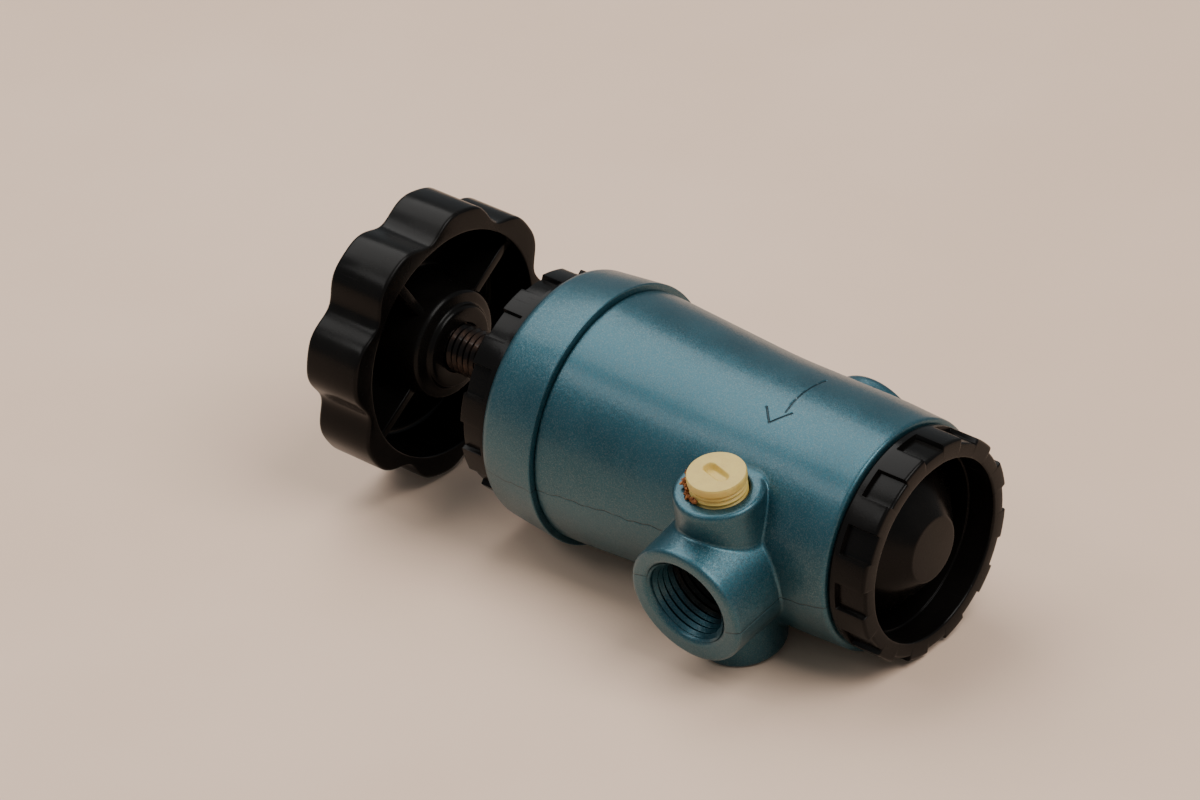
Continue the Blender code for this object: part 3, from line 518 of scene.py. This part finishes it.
def rubber():
    """Black rubber with a faint grey bloom."""
    looks = Looks("rubber_fine")
    bloom = looks.noise(300.0, 4.0, 0.6)
    colour = looks.mix(looks.range(bloom, 0.4, 0.7), (0.012, 0.012, 0.012), (0.035, 0.034, 0.032))
    looks.set(
        Base_Color=colour,
        Roughness=looks.range(bloom, 0.3, 0.7, 0.55, 0.75),
        Normal=looks.bump(looks.noise(2400.0), 0.00005, 0.7),
    )
    return looks.material


# ---- Casting: smooth union of the body and its bosses, drawn where its distance field is zero ----

def body_radius(station):
    """Outer radius of the body: a taper that runs softly into a straight part around the ports."""
    shifts = np.linspace(-BODY_SMOOTHING, BODY_SMOOTHING, 9)
    return sum(np.interp(station + shift, BODY_STATIONS, BODY_RADII) for shift in shifts) / len(shifts)


def blend_min(first, second, size):
    """Union with a fillet of about that size."""
    over = np.maximum(size - np.abs(first - second), 0) / size
    return np.minimum(first, second) - over * over * size / 4


def blend_max(first, second, size):
    """Intersection with a round edge of about that size."""
    return -blend_min(-first, -second, size)


def cone(reach, start_radius, slope, depth):
    """Side of a boss whose radius grows by the slope with the depth below its face."""
    return reach - (start_radius + slope * np.maximum(depth, 0))


def tube(along, reach, start, end, radius):
    """Round hollow between two stations of its axis."""
    return np.maximum(reach - radius, np.maximum(along - end, start - along))


def bore(reach, depth, radius, floor, mouth):
    """Blind bore with a mouth chamfered at 45 degrees; depth runs inwards from the face."""
    side = reach - np.maximum(radius, mouth - depth)
    return blend_max(side, depth - floor, 0.0006)


def engraved(x, y, z):
    """Depth of the flow arrow and of the die line on the outlet side."""
    across = np.arctan2(-y, z) * ARROW_REACH
    nearest = np.full(x.shape, 1.0)
    for start, end in ARROW_STROKES:
        run = np.subtract(end, start)
        ahead, aside = x - start[0], across - start[1]
        along = np.clip((ahead * run[0] + aside * run[1]) / (run @ run), 0, 1)
        nearest = np.minimum(nearest, np.hypot(ahead - along * run[0], aside - along * run[1]))
    arrow = ARROW_DEPTH * np.clip(1.4 - nearest / ARROW_WIDTH, 0, 1)
    before, beyond = (slope * x + level for slope, level in (SEAM_BEFORE, SEAM_BEYOND))
    offset = z - np.where(x > 0, beyond, before)
    for rate, size in SEAM_RIPPLES:
        offset = offset - size * np.sin(rate * x)
    seam = SEAM_DEPTH * np.clip(1.3 - np.abs(offset) / SEAM_WIDTH, 0, 1) * (y < SEAM_SIDE)
    return arrow + seam


def marked(points):
    """Places close to the flow arrow or to the die line, outside the port's mouth."""
    x, y, z = points.T
    outside = np.hypot(y, z) > body_radius(x) - 0.0005
    off_the_mouth = (np.hypot(x, z) > 0.0125) | (np.abs(z) > 0.02)
    return outside & off_the_mouth & (engraved(x, y, z) > 0)


def casting_distance(points, marks=False):
    """Signed distance, in metres, from points to the painted casting with its chambers and bores."""
    x, y, z = points[..., 0], points[..., 1], points[..., 2]
    reach = np.hypot(y, z)
    port = np.hypot(x, z)
    gauge = np.hypot(x, y + GAUGE_OFFSET)
    height = np.abs(z)
    face = np.where(z > 0, GAUGE_FACE, LOWER_GAUGE_FACE)
    barrel = np.hypot(x, z + OUTLET_DROP)

    body = 0.998 * (reach - body_radius(x))
    body = blend_max(body, BODY_START - x, 0.0005)
    body = blend_max(body, x - BODY_END, 0.0010)
    outlet = cone(barrel, OUTLET_RADIUS, OUTLET_SLOPE, OUTLET_FACE + y)
    outlet = np.maximum(blend_max(outlet, -OUTLET_FACE - y, BOSS_RIM), y + 0.020)
    gauges = cone(gauge, GAUGE_RADIUS, GAUGE_SLOPE, face - height)
    gauges = blend_max(gauges, height - face, BOSS_RIM)
    inlet = cone(port, INLET_RADIUS, INLET_SLOPE, INLET_FACE - y)
    inlet = np.maximum(blend_max(inlet, y - INLET_FACE, INLET_RIM), 0.018 - y)
    solid = outlet
    for part in (gauges, body, inlet):
        solid = blend_min(solid, part, BOSS_FILLET)
    if marks:
        solid = solid + engraved(x, y, z)

    hollows = [tube(x, reach, *chamber) for chamber in CHAMBERS]
    hollows.append(tube(x, np.hypot(y + PASSAGE_OFFSET, z), *PASSAGE))
    hollows.append(tube(y, port, -OUTLET_FACE, -OUTLET_CORE_END, OUTLET_CORE))
    solid = np.maximum(solid, -np.minimum.reduce(hollows))

    outlet_bore = bore(port, OUTLET_FACE + y, PIPE_ROOT + 0.00006, PORT_DEPTH, OUTLET_MOUTH)
    inlet_bore = bore(port, INLET_FACE - y, PIPE_ROOT + 0.00006, PORT_DEPTH, INLET_MOUTH)
    gauge_bore = np.maximum(gauge - GAUGE_BORE, GAUGE_BORE_FLOOR - height)
    gauge_bore = np.minimum(gauge_bore, gauge - GAUGE_CORE)
    gauge_bore = np.minimum(gauge_bore, (gauge - GAUGE_MOUTH + (face - height)) * 0.7)
    for cut in (outlet_bore, inlet_bore, gauge_bore):
        solid = blend_max(solid, -cut, 0.0005)
    return solid


def gradient(points, marks=False, step=2e-5):
    """Slope of the distance field at points."""
    parts = []
    for shift in np.eye(3) * step:
        ahead, behind = casting_distance(points + shift, marks), casting_distance(points - shift, marks)
        parts.append((ahead - behind) / (2 * step))
    return np.stack(parts, -1)


def onto_surface(points, rounds, marks=False):
    """Pull points onto the zero level of the distance field."""
    for _ in range(rounds):
        slope = gradient(points, marks)
        size = np.maximum((slope ** 2).sum(-1, keepdims=True), 0.2)
        move = casting_distance(points, marks)[..., None] * slope / size
        points = points - np.clip(move, -CASTING_STEP, CASTING_STEP)
    return points


def surface_net(field):
    """Cells that the zero level crosses, as (cell index array, faces between neighbouring cells)."""
    inside = field < 0
    corners = [inside[i:i - 1 or None, j:j - 1 or None, k:k - 1 or None]
               for i in (0, 1) for j in (0, 1) for k in (0, 1)]
    crossed = np.logical_or.reduce(corners) & ~np.logical_and.reduce(corners)
    number = np.full(crossed.shape, -1)
    number[crossed] = np.arange(crossed.sum())
    faces = []
    for axis in range(3):
        first, second = (axis + 1) % 3, (axis + 2) % 3
        here = np.moveaxis(inside, (axis, first, second), (0, 1, 2))
        cells = np.moveaxis(number, (axis, first, second), (0, 1, 2))
        change = here[:-1, 1:-1, 1:-1] != here[1:, 1:-1, 1:-1]
        i, j, k = np.nonzero(change)
        quad = np.stack([cells[i, j, k], cells[i, j + 1, k], cells[i, j + 1, k + 1], cells[i, j, k + 1]], 1)
        outwards = here[i, j + 1, k + 1]
        quad[~outwards] = quad[~outwards][:, ::-1]
        faces.append(quad)
    return np.argwhere(crossed), np.concatenate(faces)


def smoothed(points, faces, rounds):
    """Even out the net along the surface."""
    ends = np.concatenate([faces[:, [side, (side + 1) % 4]] for side in range(4)])
    count = np.bincount(ends[:, 0], minlength=len(points)) + np.bincount(ends[:, 1], minlength=len(points))
    for _ in range(rounds):
        total = np.zeros_like(points)
        for axis in range(3):
            total[:, axis] = np.bincount(ends[:, 0], points[ends[:, 1], axis], len(points))
            total[:, axis] += np.bincount(ends[:, 1], points[ends[:, 0], axis], len(points))
        points = onto_surface(0.5 * points + 0.5 * total / count[:, None], 1)
    return points


def casting(look):
    """The painted body: a net on the distance field, finer round its marks."""
    margin, half_height = 0.002, 0.034
    low = np.array((BODY_START - margin, -OUTLET_FACE - margin, -half_height))
    high = np.array((BODY_END + margin, BODY_RADII[0] + margin, half_height))
    axes = [np.arange(low[axis], high[axis], CASTING_STEP) for axis in range(3)]
    field = casting_distance(np.stack(np.meshgrid(*axes, indexing="ij"), -1))
    cells, faces = surface_net(field)
    points = low + (cells + 0.5) * CASTING_STEP
    points = onto_surface(smoothed(onto_surface(points, 4), faces, 3), 2)
    mesh = bpy.data.meshes.new("casting")
    mesh.from_pydata(points.tolist(), [], faces.tolist())

    near = np.nonzero(marked(points[faces].mean(1)) | marked(points[faces[:, 0]]))[0]
    shape = bmesh.new()
    shape.from_mesh(mesh)
    shape.faces.ensure_lookup_table()
    edges = {edge for index in near for edge in shape.faces[index].edges}
    bmesh.ops.subdivide_edges(shape, edges=list(edges), cuts=3, use_grid_fill=True)
    shape.to_mesh(mesh)
    shape.free()
    points = np.empty(3 * len(mesh.vertices))
    mesh.vertices.foreach_get("co", points)
    points = onto_surface(points.reshape(-1, 3), 2, marks=True)
    mesh.vertices.foreach_set("co", points.ravel())
    mesh.validate()
    mesh.shade_smooth()
    piece("casting", mesh, "housing", look, ["valve_body"])
    normals = gradient(points, marks=True) @ np.array(VALVE.to_3x3()).T
    normals /= np.linalg.norm(normals, axis=1, keepdims=True)
    mesh.normals_split_custom_set_from_vertices(normals.tolist())


# ---- Housing ----

def port_thread(name, face, way, look):
    """Painted pipe thread in a port, trimmed by the mouth's chamfer."""
    def trimmed(station, radius):
        return max(radius, PIPE_MOUTH - (face - station))
    mesh = threaded(name, face - 0.0170, face - 0.0004, PIPE_PITCH, PIPE_CREST, PIPE_ROOT, limit=trimmed)
    piece(name, mesh, "housing", look, way=way)


def bonnet(look):
    """Band at the wide end, with a sleeve inside the body and a nose through the panel nut."""
    sleeve_end, sleeve_bore, sleeve_radius = -0.0420, 0.0225, 0.0256
    nose_wall, nose_hole = -0.0730, 0.0093
    step, step_bore = -0.0660, 0.0180
    mesh = turned("bonnet_fine", [
        (sleeve_end, sleeve_bore, 0.0003, 0),
        (sleeve_end, sleeve_radius, 0.0003, 0),
        (BAND_START, sleeve_radius, 0, 0),
        (BAND_START, BAND_RADIUS, 0.0005, 0),
        (BAND_END, BAND_END_RADIUS, 0.0027, 0),
        (BAND_END, NOSE_RADIUS, 0, 0),
        (NOSE_END, NOSE_RADIUS, 0.0006, 0),
        (NOSE_END, nose_hole, 0.0003, 0),
        (nose_wall, nose_hole, 0, 0),
        (nose_wall, step_bore, 0, 0),
        (step, step_bore, 0, 0),
        (step, sleeve_bore, 0, 0),
    ], 256, steps=8)
    piece("bonnet_fine", mesh, "housing", look, ["bonnet"])


def nut_angles():
    """Angles round a castellated nut, close together at the edges of its recesses."""
    half = (2.5, 5, 7.0, 7.25, 7.5, 7.75, 8.0, 9.5, 12)
    within = [-NUT_PITCH / 2, *(-angle for angle in reversed(half)), 0, *half]
    middles = [NUT_PHASE + NUT_PITCH * index for index in range(NUT_RECESSES)]
    return np.radians([middle + angle for middle in middles for angle in within])


def nut_recess(angle):
    """Depth of the grip recesses of a castellated nut at an angle."""
    offset = abs((np.degrees(angle) - NUT_PHASE + NUT_PITCH / 2) % NUT_PITCH - NUT_PITCH / 2)
    share = min(max((RECESS_HALF_WIDTH - offset) / RECESS_RAMP, 0), 1)
    return RECESS_DEPTH * share * share * (3 - 2 * share)


def nut_rim(start, top, way):
    """Part of a ring nut's outline: a plain rim, then the step down into the recesses."""
    rim_end, step_end = start + way * 0.0019, start + way * 0.0022
    return [(start, top, 0.0006, 0), (rim_end, top, 0, 0), (step_end, top, 0, 1)]


def ring_nuts(look):
    """Castellated nuts: one on the bonnet's nose, one that holds the bottom cap."""
    start, bore_radius = BAND_END - NUT_GAP, NOSE_RADIUS + NUT_GAP
    mesh = turned("panel_ring_nut_fine", [
        (start, bore_radius, 0.0003, 0),
        *nut_rim(start, PANEL_NUT_RADIUS, -1),
        (PANEL_NUT_END, PANEL_NUT_RADIUS, 0.0004, 1),
        (PANEL_NUT_END, bore_radius, 0.0006, 0),
    ], angles=nut_angles(), relief=nut_recess)
    piece("panel_ring_nut_fine", mesh, "housing", look, ["panel_ring_nut"])
    start, sleeve_end, sleeve_radius = BODY_END + NUT_GAP, 0.0205, 0.0239
    lip, lip_bore, sleeve_bore = 0.0311, 0.0221, 0.0217
    mesh = turned("lower_ring_nut_fine", [
        (start, sleeve_radius, 0, 0),
        *nut_rim(start, LOWER_NUT_RADIUS, 1),
        (RING_NUT_END, LOWER_NUT_RADIUS, 0.0009, 1),
        (RING_NUT_END, lip_bore, 0.0007, 0),
        (lip, lip_bore, 0.0002, 0),
        (lip, sleeve_bore, 0.0002, 0),
        (sleeve_end, sleeve_bore, 0, 0),
        (sleeve_end, sleeve_radius, 0, 0),
    ], angles=nut_angles(), relief=nut_recess)
    piece("lower_ring_nut_fine", mesh, "housing", look, ["lower_ring_nut"])


def bottom_cap(look):
    """Conical cap with a flat disc on its tip, a flange under the ring nut and a grooved spigot."""
    tip, disc_radius = 0.0375, 0.0079
    cone_start, cone_radius = 0.0263, 0.0212
    flange_top, flange_bottom, flange_radius = 0.0202, 0.0173, 0.0236
    groove_top, groove_bottom, groove_radius = 0.0149, 0.0121, 0.0116
    spigot_end, spigot_radius, spring_bore = 0.0080, 0.0137, 0.0090
    bore_step, stem_bore, bore_end = 0.0160, 0.0053, 0.0330
    mesh = turned("bottom_cap_fine", [
        (tip, 0, 0, 0),
        (tip, disc_radius, 0.0004, 0),
        (cone_start, cone_radius, 0.0008, 0),
        (flange_top, cone_radius, 0, 0),
        (flange_top, flange_radius, 0.0003, 0),
        (flange_bottom, flange_radius, 0.0003, 0),
        (flange_bottom, spigot_radius, 0, 0),
        (groove_top, spigot_radius, 0.0002, 0),
        (groove_top, groove_radius, 0.0002, 0),
        (groove_bottom, groove_radius, 0.0002, 0),
        (groove_bottom, spigot_radius, 0.0002, 0),
        (spigot_end, spigot_radius, 0.0003, 0),
        (spigot_end, spring_bore, 0.0003, 0),
        (bore_step, spring_bore, 0, 0),
        (bore_step, stem_bore, 0.0003, 0),
        (bore_end, stem_bore, 0, 0),
        (bore_end, 0, 0, 0),
    ], 192)
    piece("bottom_cap_fine", mesh, "housing", look, ["bottom_cap"])


def slotted_top(name, top, rim, slot_depth):
    """Round plug top with a scooped screwdriver slot; local X is the plug's axis."""
    shape = bmesh.new()
    segments, rings = 144, 48
    half_length, half_width, wall = 0.0022, 0.0008, 0.0009
    slant = radians(-14)
    grid = []
    for ring in range(rings + 1):
        row = []
        reach = rim * ring / rings
        for step in range(segments if ring else 1):
            angle = 2 * pi * step / segments
            across = reach * cos(angle - slant)
            along = reach * sin(angle - slant)
            offset = np.hypot(across, max(abs(along) - half_length, 0.0))
            share = min(max((half_width + wall - offset) / wall, 0), 1)
            scoop = 0.75 + 0.25 * along / (half_length + half_width + wall)
            height = top - slot_depth * scoop * share * share * (3 - 2 * share)
            row.append(shape.verts.new((height, reach * cos(angle), reach * sin(angle))))
        grid.append(row)
    for first, second in zip(grid, grid[1:]):
        for here in range(segments):
            after = (here + 1) % segments
            face = [first[here % len(first)], first[after % len(first)], second[after], second[here]]
            shape.faces.new(dict.fromkeys(face))
    return close(shape, name, 60)


def plug_side(name, top, rim, thread_top, bottom):
    """Smooth head of a plug over its tapered thread; local X is the plug's axis."""
    rings = int((thread_top - bottom) / GAUGE_PITCH)
    hollow, root, crest = 0.0045, rim - 0.00075, rim - 0.00012
    corners = [(top - 0.0001, hollow, 0, 0), (top, rim - 0.0002, 0, 0), (top - 0.0004, rim, 0.0001, 0)]
    corners.append((thread_top, rim, 0.0002, 0))
    for index in range(rings):
        station = thread_top - index * GAUGE_PITCH
        corners.append((station - 0.0004, root, 0.0002, 0))
        corners.append((station - GAUGE_PITCH * 0.75, crest, 0.00025, 0))
    corners.append((bottom, rim - 0.0009, 0.0002, 0))
    corners.append((bottom, hollow, 0, 0))
    return turned(name, corners, 128)


def gauge_plugs(look):
    """The upper plug stands proud of its boss and the lower one is just below its face."""
    side = plug_side("upper_plug_side", UPPER_PLUG_END, PLUG_RADIUS, 0.0247, 0.0190)
    top = slotted_top("upper_plug_top", UPPER_PLUG_END, PLUG_RADIUS - 0.0002, 0.0017)
    piece("upper_plug", side, "housing", look, ["upper_gauge_plug"], UPPER_GAUGE_WAY)
    piece("upper_plug_face", top, "housing", look, way=UPPER_GAUGE_WAY)
    side = plug_side("lower_plug_side", LOWER_PLUG_END, PLUG_RADIUS - 0.0001, 0.0227, 0.0158)
    top = slotted_top("lower_plug_top", LOWER_PLUG_END, PLUG_RADIUS - 0.0003, 0.0015)
    piece("lower_plug", side, "housing", look, ["lower_gauge_plug"], LOWER_GAUGE_WAY)
    piece("lower_plug_face", top, "housing", look, way=LOWER_GAUGE_WAY)


def sealant_crumbs(look):
    """Rough crumbs of sealant round one side of the upper plug, higher and larger where they begin."""
    first, spacing = 188, 9
    shape = bmesh.new()
    for index in range(9):
        angle = radians(first + spacing * index)
        reach = PLUG_RADIUS + 0.0004 + 0.0005 * noise.noise((index, 0.5, 0.5))
        level = GAUGE_FACE + 0.0004 + 0.0012 * max(0, 1 - index / 4)
        place = Vector((level, reach * sin(angle), -reach * cos(angle)))
        size = 0.0008 if index < 3 else 0.0005
        where = Matrix.Translation(place)
        for vertex in bmesh.ops.create_icosphere(shape, subdivisions=4, radius=size, matrix=where)["verts"]:
            away = vertex.co - place
            vertex.co = place + away * (1 + 0.9 * noise.fractal(vertex.co * 1800, 0.7, 2.2, 3))
    mesh = close(shape, "sealant", 80)
    piece("sealant", mesh, "housing", look, way=UPPER_GAUGE_WAY)


def spindle_bush(look):
    """Flanged brass bush that the spindle screws through."""
    inner_end, flange_end, outer_end = -0.0707, -0.0727, -0.0803
    hole, flange_radius, radius = 0.0063, 0.0112, 0.0090
    mesh = turned("spindle_bush_fine", [
        (inner_end, hole, 0.0002, 0),
        (inner_end, flange_radius, 0.0003, 0),
        (flange_end, flange_radius, 0.0002, 0),
        (flange_end, radius, 0, 0),
        (outer_end, radius, 0.0004, 0),
        (outer_end, hole, 0.0004, 0),
    ], 96)
    piece("spindle_bush_fine", mesh, "housing", look, ["spindle_bush"])


# ---- Handwheel and spindle ----

def lobe_valley(angle):
    """Depth of the valleys between the handwheel's lobes."""
    return VALLEY_DEPTH * (0.5 * (1 - cos(WHEEL_LOBES * (angle - WHEEL_PHASE)))) ** VALLEY_SHARPNESS


def handwheel(look):
    """Hollow wheel with a lobed rim, a dished back, a stepped hub and four ribs, and its hub cover."""
    web, dish = WHEEL_BACK + 0.0030, WHEEL_BACK + 0.0007
    pocket, pocket_floor = 0.0105, -0.1125
    tail_hole, spindle_hole, hole_step = 0.0053, 0.0063, -0.1050
    mesh = turned("handwheel_fine", [
        (WHEEL_FRONT, 0.0287, 0.0006, 0),
        (WHEEL_FRONT, WHEEL_RADIUS, 0.0011, 1),
        (WHEEL_BACK, WHEEL_RADIUS, 0.0011, 1),
        (WHEEL_BACK, 0.0290, 0.0008, 0.6),
        (dish, 0.0270, 0.0008, 0),
        (dish, 0.0130, 0.0008, 0),
        (WHEEL_BACK, 0.0118, 0.0006, 0),
        (WHEEL_BACK, pocket, 0.0004, 0),
        (pocket_floor, pocket, 0, 0),
        (pocket_floor, tail_hole, 0, 0),
        (hole_step, tail_hole, 0, 0),
        (hole_step, spindle_hole, 0, 0),
        (HUB_FRONT, spindle_hole, 0.0003, 0),
        (HUB_FRONT, 0.0102, 0.0008, 0),
        (-0.1046, 0.0108, 0.0006, 0),
        (-0.1050, 0.0136, 0.0010, 0),
        (-0.1072, 0.0143, 0.0012, 0),
        (web, 0.0150, 0.0016, 0),
        (web, 0.0280, 0.0022, 0),
    ], 320, relief=lobe_valley, steps=6)
    rib_front, rib_half_width, rib_start, rib_end = -0.1082, 0.0012, 0.0135, 0.0290
    low, high = (web - 0.001, -rib_half_width, rib_start), (rib_front, rib_half_width, rib_end)
    upright = Matrix.Rotation(-pi / 2, 4, "X")
    shape = bmesh.new()
    shape.from_mesh(mesh)
    for index in range(WHEEL_RIBS):
        turn = Matrix.Rotation(WHEEL_PHASE + 2 * pi * index / WHEEL_RIBS, 4, "X")
        block(shape, low, high, turn @ upright)
    shape.to_mesh(mesh)
    shape.free()
    mesh.shade_smooth()
    mesh.set_sharp_from_angle(angle=radians(40))
    piece("handwheel_fine", mesh, "spindle_group", look, ["handwheel"])
    cover_floor, cover_edge, cover_face, cover_radius = -0.1195, -0.1210, -0.1213, 0.0102
    cover = turned("hub_cover_fine", [
        (cover_floor, 0, 0, 0),
        (cover_floor, cover_radius, 0.0002, 0),
        (cover_edge, cover_radius, 0.0006, 0),
        (cover_face, 0.0085, 0.0012, 0),
        (cover_face, 0, 0, 0),
    ], 128)
    piece("hub_cover_fine", cover, "spindle_group", look, ["hub_cover"])


def spindle(look):
    """Screw spindle: a core with a rounded tip and a plain tail, and the thread round it."""
    tip, bevel_end, shoulder, tail_end = -0.0713, -0.0726, -0.1045, -0.1191
    core_radius, tail_radius = 0.00515, 0.0050
    core = turned("spindle_core", [
        (tip, 0, 0, 0),
        (tip, 0.0038, 0.0006, 0),
        (bevel_end, core_radius, 0.0002, 0),
        (shoulder, core_radius, 0, 0),
        (shoulder, tail_radius, 0, 0),
        (tail_end, tail_radius, 0.0004, 0),
        (tail_end, 0, 0, 0),
    ], 96)
    piece("spindle_core", core, "spindle_group", look, ["spindle"])
    start, end, crest = -0.1043, -0.0730, SPINDLE_RADIUS - 0.00003
    mesh = threaded("spindle_thread", start, end, SPINDLE_PITCH, crest, tail_radius)
    piece("spindle_thread", mesh, "spindle_group", look)


def finish_cad(looks):
    """Give the CAD nodes that stay, all inside the valve, their detailed materials."""
    slots = {part["node"]: part["material_slot"] for part in frame["record"]["subparts"]}
    for name, node in frame["nodes"].items():
        if not node.hide_render:
            node.data.materials.clear()
            node.data.materials.append(looks[slots[name]])


# ---- Floor, light and camera ----

def floor():
    """Plain pale table top with a faint mottling."""
    looks = Looks("floor")
    patch = looks.noise(5.0, 4.0, 0.6)
    grain = looks.noise(420.0, 3.0)
    colour = looks.mix(looks.range(patch, 0.3, 0.7), (0.78, 0.55, 0.41), (0.83, 0.60, 0.455))
    looks.set(Base_Color=colour, Roughness=0.62, Normal=looks.bump(grain, 0.0002, 0.2))
    half = 4
    mesh = bpy.data.meshes.new("floor")
    corners = [(-half, -half, 0), (half, -half, 0), (half, half, 0), (-half, half, 0)]
    mesh.from_pydata(corners, [], [(0, 1, 2, 3)])
    mesh.materials.append(looks.material)
    made = bpy.data.objects.new("floor", mesh)
    bpy.context.scene.collection.objects.link(made)


def area_light(name, place, size, power, colour):
    """Rectangular lamp that faces the valve."""
    data = bpy.data.lights.new(name, "AREA")
    data.shape = "RECTANGLE"
    data.size, data.size_y = size
    data.energy = power
    data.color = colour
    made = bpy.data.objects.new(name, data)
    made.location = place
    made.rotation_euler = (LAMP_TARGET - Vector(place)).to_track_quat("-Z", "Y").to_euler()
    bpy.context.scene.collection.objects.link(made)


def lights():
    """Even pale sky, a large soft lamp overhead, a small one at the side and a broad fill."""
    world = bpy.data.worlds.new("studio")
    world.use_nodes = True
    world.node_tree.nodes["Background"].inputs["Color"].default_value = (0.86, 0.95, 1.0, 1)
    world.node_tree.nodes["Background"].inputs["Strength"].default_value = 0.36
    bpy.context.scene.world = world
    area_light("overhead", (-0.70, 0.20, 1.35), (1.3, 1.1), 16, LAMP_WHITE)
    area_light("side", (-0.68, -0.90, 1.30), (0.9, 0.30), 3.5, LAMP_WHITE)
    area_light("fill", (0.95, 0.10, 1.40), (1.0, 1.0), 20, FILL_WHITE)


def camera():
    """Long lens from above the outlet's side, beyond the bottom cap, rolled slightly about its own axis."""
    data = bpy.data.cameras.new("camera")
    data.lens = 156.15
    data.sensor_width = 36
    data.clip_start, data.clip_end = 0.05, 20
    made = bpy.data.objects.new("camera", data)
    target, distance = Vector((0.00068, -0.01499, 0.05097)), 1.1858
    azimuth, elevation, roll = radians(42.367), radians(30.382), radians(-4.574)
    back = Vector((sin(azimuth) * cos(elevation), -cos(azimuth) * cos(elevation), sin(elevation)))
    facing = (-back).to_track_quat("-Z", "Y")
    made.rotation_mode = "QUATERNION"
    made.location = target + distance * back
    made.rotation_quaternion = facing @ Matrix.Rotation(roll, 3, "Z").to_quaternion()
    bpy.context.scene.collection.objects.link(made)
    bpy.context.scene.camera = made


def build():
    """Make the looks, the pieces that ride on each body, and the stage."""
    teal = teal_paint()
    thread_paint = teal_paint("thread_paint", marks=False)
    black = black_plastic()
    cream = cream_plastic()
    brass = turned_metal("brass_fine", (0.42, 0.28, 0.10), (0.66, 0.48, 0.20), 0.22)
    zinc = turned_metal("zinc_steel_fine", (0.26, 0.26, 0.25), (0.50, 0.49, 0.46), 0.28)
    blued = turned_metal("blued_steel", (0.010, 0.007, 0.006), (0.050, 0.028, 0.019), 0.28, grease=0.25)
    spring = turned_metal("spring_steel_fine", (0.10, 0.10, 0.10), (0.26, 0.26, 0.26), 0.28)
    gasket = rubber()

    casting(teal)
    port_thread("outlet_thread", OUTLET_FACE, OUTLET_WAY, thread_paint)
    port_thread("inlet_thread", INLET_FACE, INLET_WAY, thread_paint)
    bonnet(teal)
    ring_nuts(black)
    bottom_cap(black)
    gauge_plugs(cream)
    sealant_crumbs(sealant())
    spindle_bush(brass)
    handwheel(black)
    spindle(blued)
    finish_cad({
        "teal_paint": teal, "black_plastic": black, "cream_plastic": cream, "brass": brass,
        "zinc_steel": zinc, "spring_steel": spring, "rubber": gasket,
    })
    floor()
    lights()
    camera()


build()
